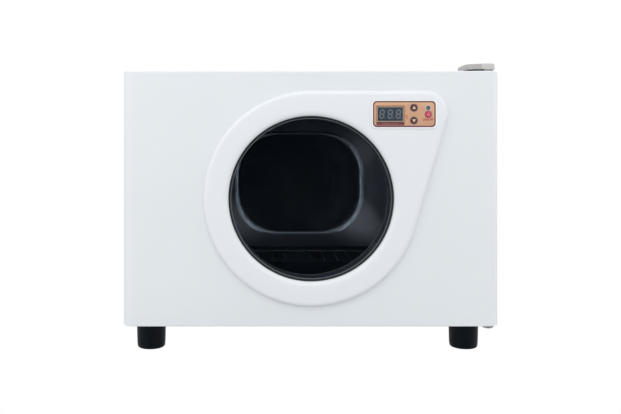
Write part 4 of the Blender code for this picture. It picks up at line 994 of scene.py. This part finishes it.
def make_button(node, look):
    """A button with a flange behind the overlay, a slightly dished cap and a printed mark."""
    low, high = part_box(node)
    centre = middle_xz(node)
    cap_r = cap_radius(node)
    cap_front, flange_front = low.y + 0.03 * MM, low.y + 2.8 * MM
    flange_back = flange_front + 1 * MM
    profile = [
        (0.9 * MM, high.y),
        (0.9 * MM, flange_back),
        (-BUTTON_FLANGE, flange_back),
        (-BUTTON_FLANGE, flange_front),
        (0, flange_front),
        *round_edge(0.5 * MM, 0, cap_front, -1, 4),
        (cap_r * 0.6, cap_front + 0.05 * MM),
    ]
    place(moulded(node + "_cap", disc(cap_r, centre, 48), profile, on_xz), node, look, M[look], node)
    if node == "power_button":
        make_power_symbol(centre, low.y)
    else:
        make_arrow(node, centre, low.y, look)


def make_power_symbol(centre, front):
    """A generic mark: an open ring with a bar in its gap."""
    ring = strip(arc((0, -0.2 * MM), 1.4 * MM, math.radians(125), math.radians(415), 24), 0.6 * MM)
    bar = rounded(0.3 * MM, 1 * MM, 0.2 * MM, (0, 1.05 * MM), 2)
    marks = [
        prism(f"power_mark_{i}", around(centre, mark), front + 0.1 * MM, front)
        for i, mark in enumerate((ring, bar))
    ]
    place(merged("power_symbol", marks), "power_button", "red_plastic", M["pink_ink"])


def make_arrow(node, centre, front, slot):
    """A triangle with rounded corners that points up or down."""
    side = 1 if node == "up_button" else -1
    corners = ((-1.75, -1.25), (1.75, -1.25), (0, 1.75))[::side]
    circles = [(centre[0] + x * MM, centre[1] + side * z * MM, 0.25 * MM) for x, z in corners]
    outline = hull(circles, 0, math.radians(30))
    flat(node + "_arrow", outline, front, 0.1 * MM, M["beige_ink"], slot, node)


# ---------------------------------------------------------------- the cabinet


def make_casing():
    """The bent sheet over the sides and the top, open below and at both ends."""
    low, high = CASING_LOW, CASING_HIGH

    def wrap_path(inset):
        half, top = high.x - inset, high.z - inset
        turn = 4 * MM - inset
        right = arc((half - turn, top - turn), turn, 0, QUARTER, 10)
        left = arc((-half + turn, top - turn), turn, QUARTER, 2 * QUARTER, 10)
        return [(half, low.z), *right, *left, (-half, low.z)]

    casing = prism("casing_wrap", wrap_path(0) + wrap_path(SHEET)[::-1], low.y, high.y)
    place(casing, "cabinet", "white_enamel", M["powder_coat"], "outer_casing")
    make_front_frame()


def make_front_frame():
    """A sheet frame with turned edges, flat between the chamber's mouth and the casing."""
    low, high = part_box("front_frame")
    half_x, half_z = half_xz("front_frame")
    mid = (high.z + low.z) / 2
    mouth_x, mouth_z = LINER_HIGH.x - 7 * MM, (LINER_HIGH.z - LINER_LOW.z) / 2 - 7 * MM
    mouth_mid = (LINER_HIGH.z + LINER_LOW.z) / 2

    def opening(grow, y):
        return on_xz(rounded(mouth_x + grow, mouth_z + grow, 8 * MM + grow, (0, mouth_mid), 10), y)

    def outside(inset, y):
        corner = 3 * MM - min(inset, 2 * MM)
        return on_xz(rounded(half_x - inset, half_z - inset, corner, (0, mid), 10), y)

    soft, back = 0.6 * MM, low.y + 1 * MM
    rings = [
        opening(0.2 * MM, back),
        opening(0, low.y + soft),
        opening(0.3 * MM, low.y),
        outside(soft, low.y),
        outside(0, low.y + soft),
        outside(0, high.y),
        outside(SHEET, high.y),
        outside(SHEET, low.y + SHEET),
        opening(0.6 * MM, back),
    ]
    panel = skin("front_frame_panel", rings, True)
    place(panel, "cabinet", "white_enamel", M["powder_coat"], "front_frame")


def cavity_profile(steps, bend_steps):
    """How far the walls have come in, and back, from the straight part (0, 0) to the flat back (1, 1)."""
    total_in = CAVITY_REAR[0] - CAVITY_BACK[0]
    total_back = CAVITY_ROUNDING
    curve_in = total_in - BACK_BEND_R * math.sin(BACK_BEND)
    curve_back = total_back - BACK_BEND_R * (1 - math.cos(BACK_BEND))
    slope = math.tan(BACK_BEND) * curve_in / curve_back
    last = math.asin(slope / (1 - slope))
    points = []
    for i in range(steps + 1):
        turn = QUARTER + (last - QUARTER) * i / steps
        inward = curve_in * (1 - math.sin(turn)) / (1 - math.sin(last))
        points.append((inward / total_in, curve_back * math.cos(turn) / math.cos(last) / total_back))
    for i in range(1, bend_steps + 1):
        tilt = BACK_BEND * (1 - i / bend_steps)
        inward = total_in - BACK_BEND_R * math.sin(tilt)
        points.append((inward / total_in, 1 - BACK_BEND_R * (1 - math.cos(tilt)) / total_back))
    return points


def make_cavity():
    """The drawn metal tub: rounded corners that flow into a bend round the large oval back."""
    wall, mouth_corner = 1 * MM, 14 * MM
    rim = (LINER_HIGH.x, (LINER_HIGH.z - LINER_LOW.z) / 2)
    mouth = (rim[0] - CAVITY_FLANGE, rim[1] - CAVITY_FLANGE, mouth_corner)
    mouth_mid = (LINER_HIGH.z + LINER_LOW.z) / 2
    rear_mid = LINER_LOW.z + CAVITY_FLANGE + CAVITY_REAR[1]
    back_mid = WINDOW_Z + 3.4 * MM
    start_y = LINER_LOW.y
    deep_y = LINER_HIGH.y - wall
    straight_y = deep_y - CAVITY_ROUNDING

    def ring(half_a, half_b, corner, mid, y, grow):
        return on_xz(rounded(half_a + grow, half_b + grow, corner + grow, (0, mid), 24), y)

    def surface(grow):
        rings = [ring(*mouth, mouth_mid, start_y + grow, grow)]
        for inward, back in cavity_profile(CURVE_STEPS, BEND_STEPS):
            sizes = [a + (b - a) * inward for a, b in zip(CAVITY_REAR, CAVITY_BACK)]
            kept = (1 - inward) ** CORNER_POWER
            sizes[2] = CAVITY_BACK[2] + (CAVITY_REAR[2] - CAVITY_BACK[2]) * kept
            mid = rear_mid + (back_mid - rear_mid) * inward
            rings.append(ring(*sizes, mid, straight_y + (deep_y + grow - straight_y) * back, grow))
        return rings

    lip = [ring(*rim, mouth_corner, mouth_mid, y, 0) for y in (start_y, start_y + wall)]
    inside, outside = surface(0), surface(wall)
    walls = [*inside[-BEND_STEPS - 1::-1], *lip, *outside[:-BEND_STEPS]]
    tub = skin("cavity_walls", walls, joined=True, angle=50)
    place(tub, "cabinet", "aluminium", M["liner_metal"], "cavity_liner")
    # The bend and the back take the darker copy of the liner's metal: painted shade.
    dish = [*inside[:-BEND_STEPS - 2:-1], *outside[-BEND_STEPS - 1:]]
    place(skin("cavity_back", dish, angle=50), "cabinet", "aluminium", M["liner_back_painted_shade"], "cavity_liner")


def make_tray():
    """A pressed tray with a rounded floor edge and a rolled rim."""
    low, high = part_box("drip_tray")
    half = ((high.x - low.x) / 2, (high.y - low.y) / 2)
    outline = rect(*half, 9 * MM, ((low.x + high.x) / 2, (low.y + high.y) / 2), 8)
    taper, soft, wall = 2 * MM, 3 * MM, 0.8 * MM
    turns = quarter_turn(4)
    profile = [(taper + soft * (1 - s), low.z + soft * (1 - c)) for s, c in turns]
    profile += [
        (0.9 * MM, high.z - 2 * MM),
        (0, high.z - 1.6 * MM),
        (0, high.z - 0.5 * MM),
        (0.5 * MM, high.z),
        (1.5 * MM, high.z),
        (2 * MM, high.z - 0.6 * MM),
        (1.8 * MM, low.z + (high.z - low.z) * 0.8),
    ]
    profile += [(taper + wall + soft * (1 - c), low.z + wall + soft * (1 - s)) for s, c in turns]
    place(moulded("pressed_tray", outline, profile, on_xy), "tray", "aluminium", M["tray_painted_shade_metal"], "drip_tray")
    make_rack()


def make_rack():
    """The wire rack: a rim, wires from front to back, and four short legs."""
    low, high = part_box("towel_rack")
    wire = 1.3 * MM
    deck = high.z - wire
    half = ((high.x - low.x) / 2 - wire, (high.y - low.y) / 2 - wire)
    rim = rounded(*half, 6 * MM, ((low.x + high.x) / 2, (low.y + high.y) / 2), 5)
    wires = [tube("rack_rim", on_xy(rim, deck), wire, True)]
    gaps = 13
    pitch = (high.x - low.x - 2 * wire) / gaps
    ends = (low.y + wire, high.y - wire)
    for i in range(1, gaps):
        x = low.x + wire + i * pitch
        wires.append(tube(f"rack_wire_{i}", [(x, y, deck) for y in ends], wire * 0.85))
    for i in (1, gaps - 1):
        x = low.x + wire + i * pitch
        for y in ends:
            wires.append(tube(f"rack_leg_{i}_{y:.3f}", [(x, y, low.z), (x, y, deck)], wire))
    place(merged("wire_rack", wires), "tray", "chrome", M["chrome"], "towel_rack")


def screw(name, spot, direction, head_r=3.8 * MM, head_tall=SCREW_HEAD_TALL):
    """A pan head with a cross recess. spot is the head's seat, and direction is the way that it faces."""
    rim, dome = head_tall * 0.25, head_tall * 0.75
    profile = [(0, 0)]
    profile += [(head_r * (1 - sine), rim + dome * cosine) for sine, cosine in quarter_turn(5)[:0:-1]]
    head = moulded(name, disc(head_r, (0, 0), 32), profile, on_xy)
    long, narrow = head_r * 0.55, 0.45 * MM
    cuts = [
        block(f"{name}_cut_{i}", (-a, -b, head_tall * 0.45), (a, b, head_tall * 2), 0)
        for i, (a, b) in enumerate(((long, narrow), (narrow, long)))
    ]
    carve(head, *cuts)
    head.rotation_euler = Vector((0, 0, 1)).rotation_difference(Vector(direction)).to_euler()
    head.location = spot
    return head


def make_back():
    """The back panel with a turned edge, vent slots, screws and the mains inlet."""
    low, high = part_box("back_panel")
    half_x, half_z = half_xz("back_panel")
    mid = (high.z + low.z) / 2
    soft = 0.6 * MM
    profile = [(0, low.y), (0, high.y - soft), *round_edge(soft, 0, high.y, 1, 3)[1:],
               (14 * MM, high.y), (15 * MM, high.y - 0.8 * MM)]
    panel = moulded("rear_panel", rect(half_x, half_z, 3 * MM, (0, mid), 6), profile, on_xz)
    cuts = []
    for i in range(8):
        slot = rounded(22 * MM, 1.5 * MM, 1.4 * MM, (170 * MM, WINDOW_Z + (-20 + i * 9) * MM), 4)
        cuts.append(prism(f"vent_cut_{i}", slot, high.y - 6 * MM, high.y + 4 * MM))
    inlet = middle("power_inlet")
    cuts.append(block("inlet_cut", (inlet.x - 14 * MM, high.y - 9 * MM, inlet.z - 10.4 * MM),
                      (inlet.x + 14 * MM, high.y + 4 * MM, inlet.z + 10.4 * MM), 0))
    place(carve(panel, *cuts), "cabinet", "white_enamel", M["powder_coat"], "back_panel")
    # Painted shade: a dark sheet behind the vent slots stands in for the shade inside the cabinet.
    shade = block("vent_painted_shade", (146 * MM, high.y - 11.5 * MM, WINDOW_Z - 24 * MM),
                  (194 * MM, high.y - 11 * MM, WINDOW_Z + 47 * MM))
    place(shade, "cabinet", "dark_plastic", M["painted_dark_inside"])
    edge_x, edge_z = half_x - 7 * MM, half_z - 7 * MM
    spots = [(x, z) for x in (-edge_x, 0, edge_x) for z in (-edge_z, edge_z)] + [(-edge_x, 0), (edge_x, 0)]
    for i, (x, z) in enumerate(spots):
        head = screw(f"rear_screw_{i + 1}", (x, high.y, mid + z), (0, 1, 0), 3 * MM, 1.8 * MM)
        place(head, "cabinet", "zinc_steel", M["zinc"])
    make_inlet(inlet, high.y)


def make_inlet(inlet, wall_y):
    """A mains inlet: a screwed flange, a socket with a floor, and three pins."""
    low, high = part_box("power_inlet")
    centre = (inlet.x, inlet.z)
    seat = wall_y + 0.1 * MM
    profile = [(0, seat), *round_edge(0.8 * MM, 0, high.y, 1, 4)]
    body = moulded("inlet_flange", rect(*half_xz("power_inlet"), 5 * MM, centre, 8), profile, on_xz)
    core = prism("inlet_core", rounded(13.5 * MM, 10 * MM, 2 * MM, centre, 4), low.y, seat)
    socket = rounded(12 * MM, 8.25 * MM, 3.5 * MM, centre, 6)
    for piece in (body, core):
        cutter = prism(piece.name + "_socket", socket, high.y - 15.5 * MM, high.y + 3 * MM)
        carve(piece, cutter)
    place(merged("mains_inlet", [body, core]), "cabinet", "dark_plastic", M["black_plastic"], "power_inlet")
    outline = rounded(12.2 * MM, 8.5 * MM, 3.5 * MM, centre, 6)
    floor = prism("inlet_floor", outline, high.y - 15.9 * MM, high.y - 15.4 * MM)
    place(floor, "cabinet", "dark_plastic", M["black_plastic"])
    pins = []
    for i, (dx, dz) in enumerate(((-7 * MM, -1 * MM), (0, 3 * MM), (7 * MM, -1 * MM))):
        root = (inlet.x + dx - 1 * MM, high.y - 15.6 * MM, inlet.z + dz - 2 * MM)
        tip = (inlet.x + dx + 1 * MM, high.y - 4.5 * MM, inlet.z + dz + 2 * MM)
        pins.append(block(f"inlet_pin_{i}", root, tip, 0.35 * MM))
    place(merged("inlet_pins", pins), "cabinet", "zinc_steel", M["zinc"])
    head_r, head_tall = 2.2 * MM, 0.28 * MM
    for name, side in (("inlet_screw_left", -1), ("inlet_screw_right", 1)):
        spot = (inlet.x + side * 20 * MM, high.y - 0.3 * MM, inlet.z)
        head = screw(name, spot, (0, 1, 0), head_r, head_tall)
        place(head, "cabinet", "zinc_steel", M["zinc"])


# ---------------------------------------------------------------- hinge, feet and base


def make_hinge():
    make_hinge_cover()
    for node in ("top_hinge_screw_1", "top_hinge_screw_2"):
        make_machine_screw(node, 1)
    make_machine_screw("bottom_hinge_screw", -1)
    for node in (
        "foot_screw_front_left",
        "foot_screw_front_right",
        "foot_screw_rear_left",
        "foot_screw_rear_right",
    ):
        make_machine_screw(node, -1)


def make_machine_screw(node, facing):
    """A screw with a plain shank, whose head faces up (1) or down (-1)."""
    low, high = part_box(node)
    spot = middle(node)
    head_end, shank_end = (high.z, low.z) if facing > 0 else (low.z, high.z)
    seat = head_end - facing * SCREW_HEAD_TALL
    head = screw(node + "_head", (spot.x, spot.y, seat), (0, 0, facing))
    shank = prism(node + "_shank", circle(2 * MM, (spot.x, spot.y), 20), seat, shank_end, on_xy)
    bpy.context.view_layer.update()
    head.data.transform(head.matrix_world)
    head.location = (0, 0, 0)
    head.rotation_euler = (0, 0, 0)
    place(merged(node + "_fine", [head, shank]), "cabinet", "zinc_steel", M["zinc"], node)


def make_hinge_cover():
    """The cap over the top bracket: a lighter nose at the pivot, and a body that bulges to the left."""
    base_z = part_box("top_hinge_cover")[0].z
    wall, draft, edge = 1.2 * MM, 0.3 * MM, 2.4 * MM
    proud = 0.25 * MM

    def lift(y):
        """The rim clears the door by more than the bracket does."""
        part = min(1, max(0, (30 * MM - y) / (8 * MM)))
        return 1.8 * MM * part * part * (3 - 2 * part)

    def shell(circles, inset, height, foot):
        rings = [[(x, y, foot + lift(y)) for x, y in hull(circles, inset)]]
        for sine, cosine in quarter_turn(8):
            outline = hull(circles, inset + draft + edge * (1 - cosine))
            top = height - edge * (1 - sine)
            rings.append([(x, y, top + COVER_CROWN * y) for x, y in outline])
        return [[(PIVOT.x + x, PIVOT.y + y, base_z + z) for x, y, z in ring] for ring in rings]

    def cap(name, circles, inset, height, foot):
        outside = shell(circles, inset, height, foot)
        inside = shell(circles, inset + wall, height - wall, foot)
        return skin(name, outside[::-1] + inside)

    body = cap("hinge_cap", COVER_CIRCLES, proud, COVER_RISE - proud, 0.1 * MM)
    place(body, "cabinet", "grey_plastic", M["grey_plastic"], "top_hinge_cover")
    nose = cap("hinge_cap_nose", NOSE_CIRCLES, 0, COVER_RISE, 0)
    place(nose, "cabinet", "grey_plastic", M["light_grey_plastic"])


def make_feet():
    """Tapered rubber feet with a stepped top, a rounded base and a well for the screw."""
    for corner in ("front_left", "front_right", "rear_left", "rear_right"):
        node = "foot_" + corner
        low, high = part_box(node)
        spot = middle(node)
        top_r, base_r, edge = (high.x - low.x) / 2, 17.8 * MM, 3 * MM
        hole_r, well_r, well_top = 2.4 * MM, 6 * MM, 16 * MM
        top_z = high.z
        profile = [
            (hole_r, top_z),
            (top_r - 0.5 * MM, top_z),
            (top_r, top_z - 0.5 * MM),
            (top_r, top_z - 2.2 * MM),
            (top_r - 0.35 * MM, top_z - 2.7 * MM),
            (top_r - 0.75 * MM, top_z - 3.2 * MM),
            (base_r + 0.35 * MM, edge * 2.5),
        ]
        profile += [(base_r - edge * (1 - c), edge * (1 - s)) for s, c in quarter_turn(8)]
        profile += [(well_r + 0.4 * MM, 0), (well_r, 0.4 * MM), (well_r, well_top), (hole_r, well_top)]
        rings = [on_xy(circle(radius, (spot.x, spot.y), 64), z) for radius, z in profile]
        foot = skin("rubber_" + node, rings, True, 40)
        place(foot, "cabinet", "black_rubber", M["black_rubber"], node)


def finish_cad_nodes():
    """Materials of the CAD nodes that stay as they are."""
    looks = {
        "powder_coat": ("base_pan",),
        "wool": ("door_insulation", "cavity_insulation"),
        "silicone": ("heater_mat",),
        "circuit_board": ("power_board", "control_board"),
        "zinc": (
            "temperature_sensor",
            "thermal_cutout",
            "top_hinge_bracket",
            "bottom_hinge_bracket",
            "upper_hinge_pin",
            "lower_hinge_pin",
            "foot_washer_front_left",
            "foot_washer_rear_left",
            "foot_washer_rear_right",
        ),
        "satin_white": ("upper_pivot_bush", "lower_pivot_bush"),
        "black_plastic": ("body_harness", "door_harness"),
    }
    for look, nodes in looks.items():
        for node in nodes:
            mesh = NODES[node].data
            mesh.materials.clear()
            mesh.materials.append(M[look])


# ---------------------------------------------------------------- camera, light and floor


def make_camera():
    camera = bpy.data.objects.new("camera", bpy.data.cameras.new("camera"))
    bpy.context.scene.collection.objects.link(camera)
    camera.location = CAMERA_SPOT
    camera.rotation_euler = (QUARTER, 0, 0)
    camera.data.lens = CAMERA_LENS
    camera.data.sensor_width = 36
    camera.data.shift_x, camera.data.shift_y = CAMERA_SHIFT
    camera.data.clip_end = 100
    bpy.context.scene.camera = camera


def area_light(name, spot, target, size, power, colour):
    light = bpy.data.lights.new(name, "AREA")
    light.shape = "RECTANGLE"
    light.size, light.size_y = size
    light.energy = power
    light.color = colour
    obj = bpy.data.objects.new(name, light)
    bpy.context.scene.collection.objects.link(obj)
    obj.location = spot
    obj.rotation_euler = (Vector(target) - Vector(spot)).to_track_quat("-Z", "Y").to_euler()


def make_world():
    """A white studio with a small dark patch where the cabinet's glass mirrors it to the camera."""
    world = bpy.data.worlds.new("studio")
    world.use_nodes = True
    nodes, links = world.node_tree.nodes, world.node_tree.links
    coords = nodes.new("ShaderNodeTexCoord")

    def combine(operation, first, second):
        made = nodes.new("ShaderNodeMath")
        made.operation = operation
        links.new(first, made.inputs[0])
        links.new(second, made.inputs[1])
        return made.outputs["Value"]

    mirrored = nodes.new("ShaderNodeVectorMath")
    mirrored.operation = "DOT_PRODUCT"
    mirrored.inputs[1].default_value = Vector(MIRRORED_WAY).normalized()
    links.new(coords.outputs["Generated"], mirrored.inputs[0])
    rim, heart = math.cos(math.radians(26)), math.cos(math.radians(15))
    patch = map_range(nodes, links, mirrored.outputs["Value"], (rim, heart), (1, 0), smooth=True)
    split = nodes.new("ShaderNodeSeparateXYZ")
    links.new(coords.outputs["Generated"], split.inputs["Vector"])
    sky = map_range(nodes, links, split.outputs["Z"], (-0.35, 0.25), (WORLD_LOW, WORLD_HIGH))
    camera_ray = nodes.new("ShaderNodeLightPath").outputs["Is Camera Ray"]
    seen = combine("MAXIMUM", camera_ray, combine("MULTIPLY", patch, sky))
    background = nodes["Background"]
    links.new(seen, background.inputs["Strength"])
    background.inputs["Color"].default_value = (1, 1, 1, 1)
    bpy.context.scene.world = world


def make_stage():
    """A shadowless white floor that the glass doesn't mirror."""
    bm = bmesh.new()
    bmesh.ops.create_grid(bm, x_segments=1, y_segments=1, size=6)
    floor = new_object("floor", bm)
    material = bpy.data.materials.new("floor_white")
    material.use_nodes = True
    nodes, links = material.node_tree.nodes, material.node_tree.links
    diffuse = nodes["Principled BSDF"]
    diffuse.inputs["Base Color"].default_value = (*FLOOR_COLOUR, 1)
    diffuse.inputs["Specular IOR Level"].default_value = 0
    glow = nodes.new("ShaderNodeEmission")
    path = nodes.new("ShaderNodeLightPath")
    mix = nodes.new("ShaderNodeMixShader")
    links.new(path.outputs["Is Camera Ray"], mix.inputs["Fac"])
    links.new(diffuse.outputs["BSDF"], mix.inputs[1])
    links.new(glow.outputs["Emission"], mix.inputs[2])
    links.new(mix.outputs["Shader"], nodes["Material Output"].inputs["Surface"])
    floor.data.materials.append(material)
    floor.visible_glossy = False


bpy.context.scene.view_settings.view_transform = "Standard"
make_camera()
make_stage()
make_world()
for light_name, settings in LIGHTS.items():
    area_light(light_name, *settings)

make_door_shell()
make_door_inner()
make_surround()
make_window()
make_panel()
make_casing()
make_cavity()
make_tray()
make_back()
make_hinge()
make_feet()
finish_cad_nodes()
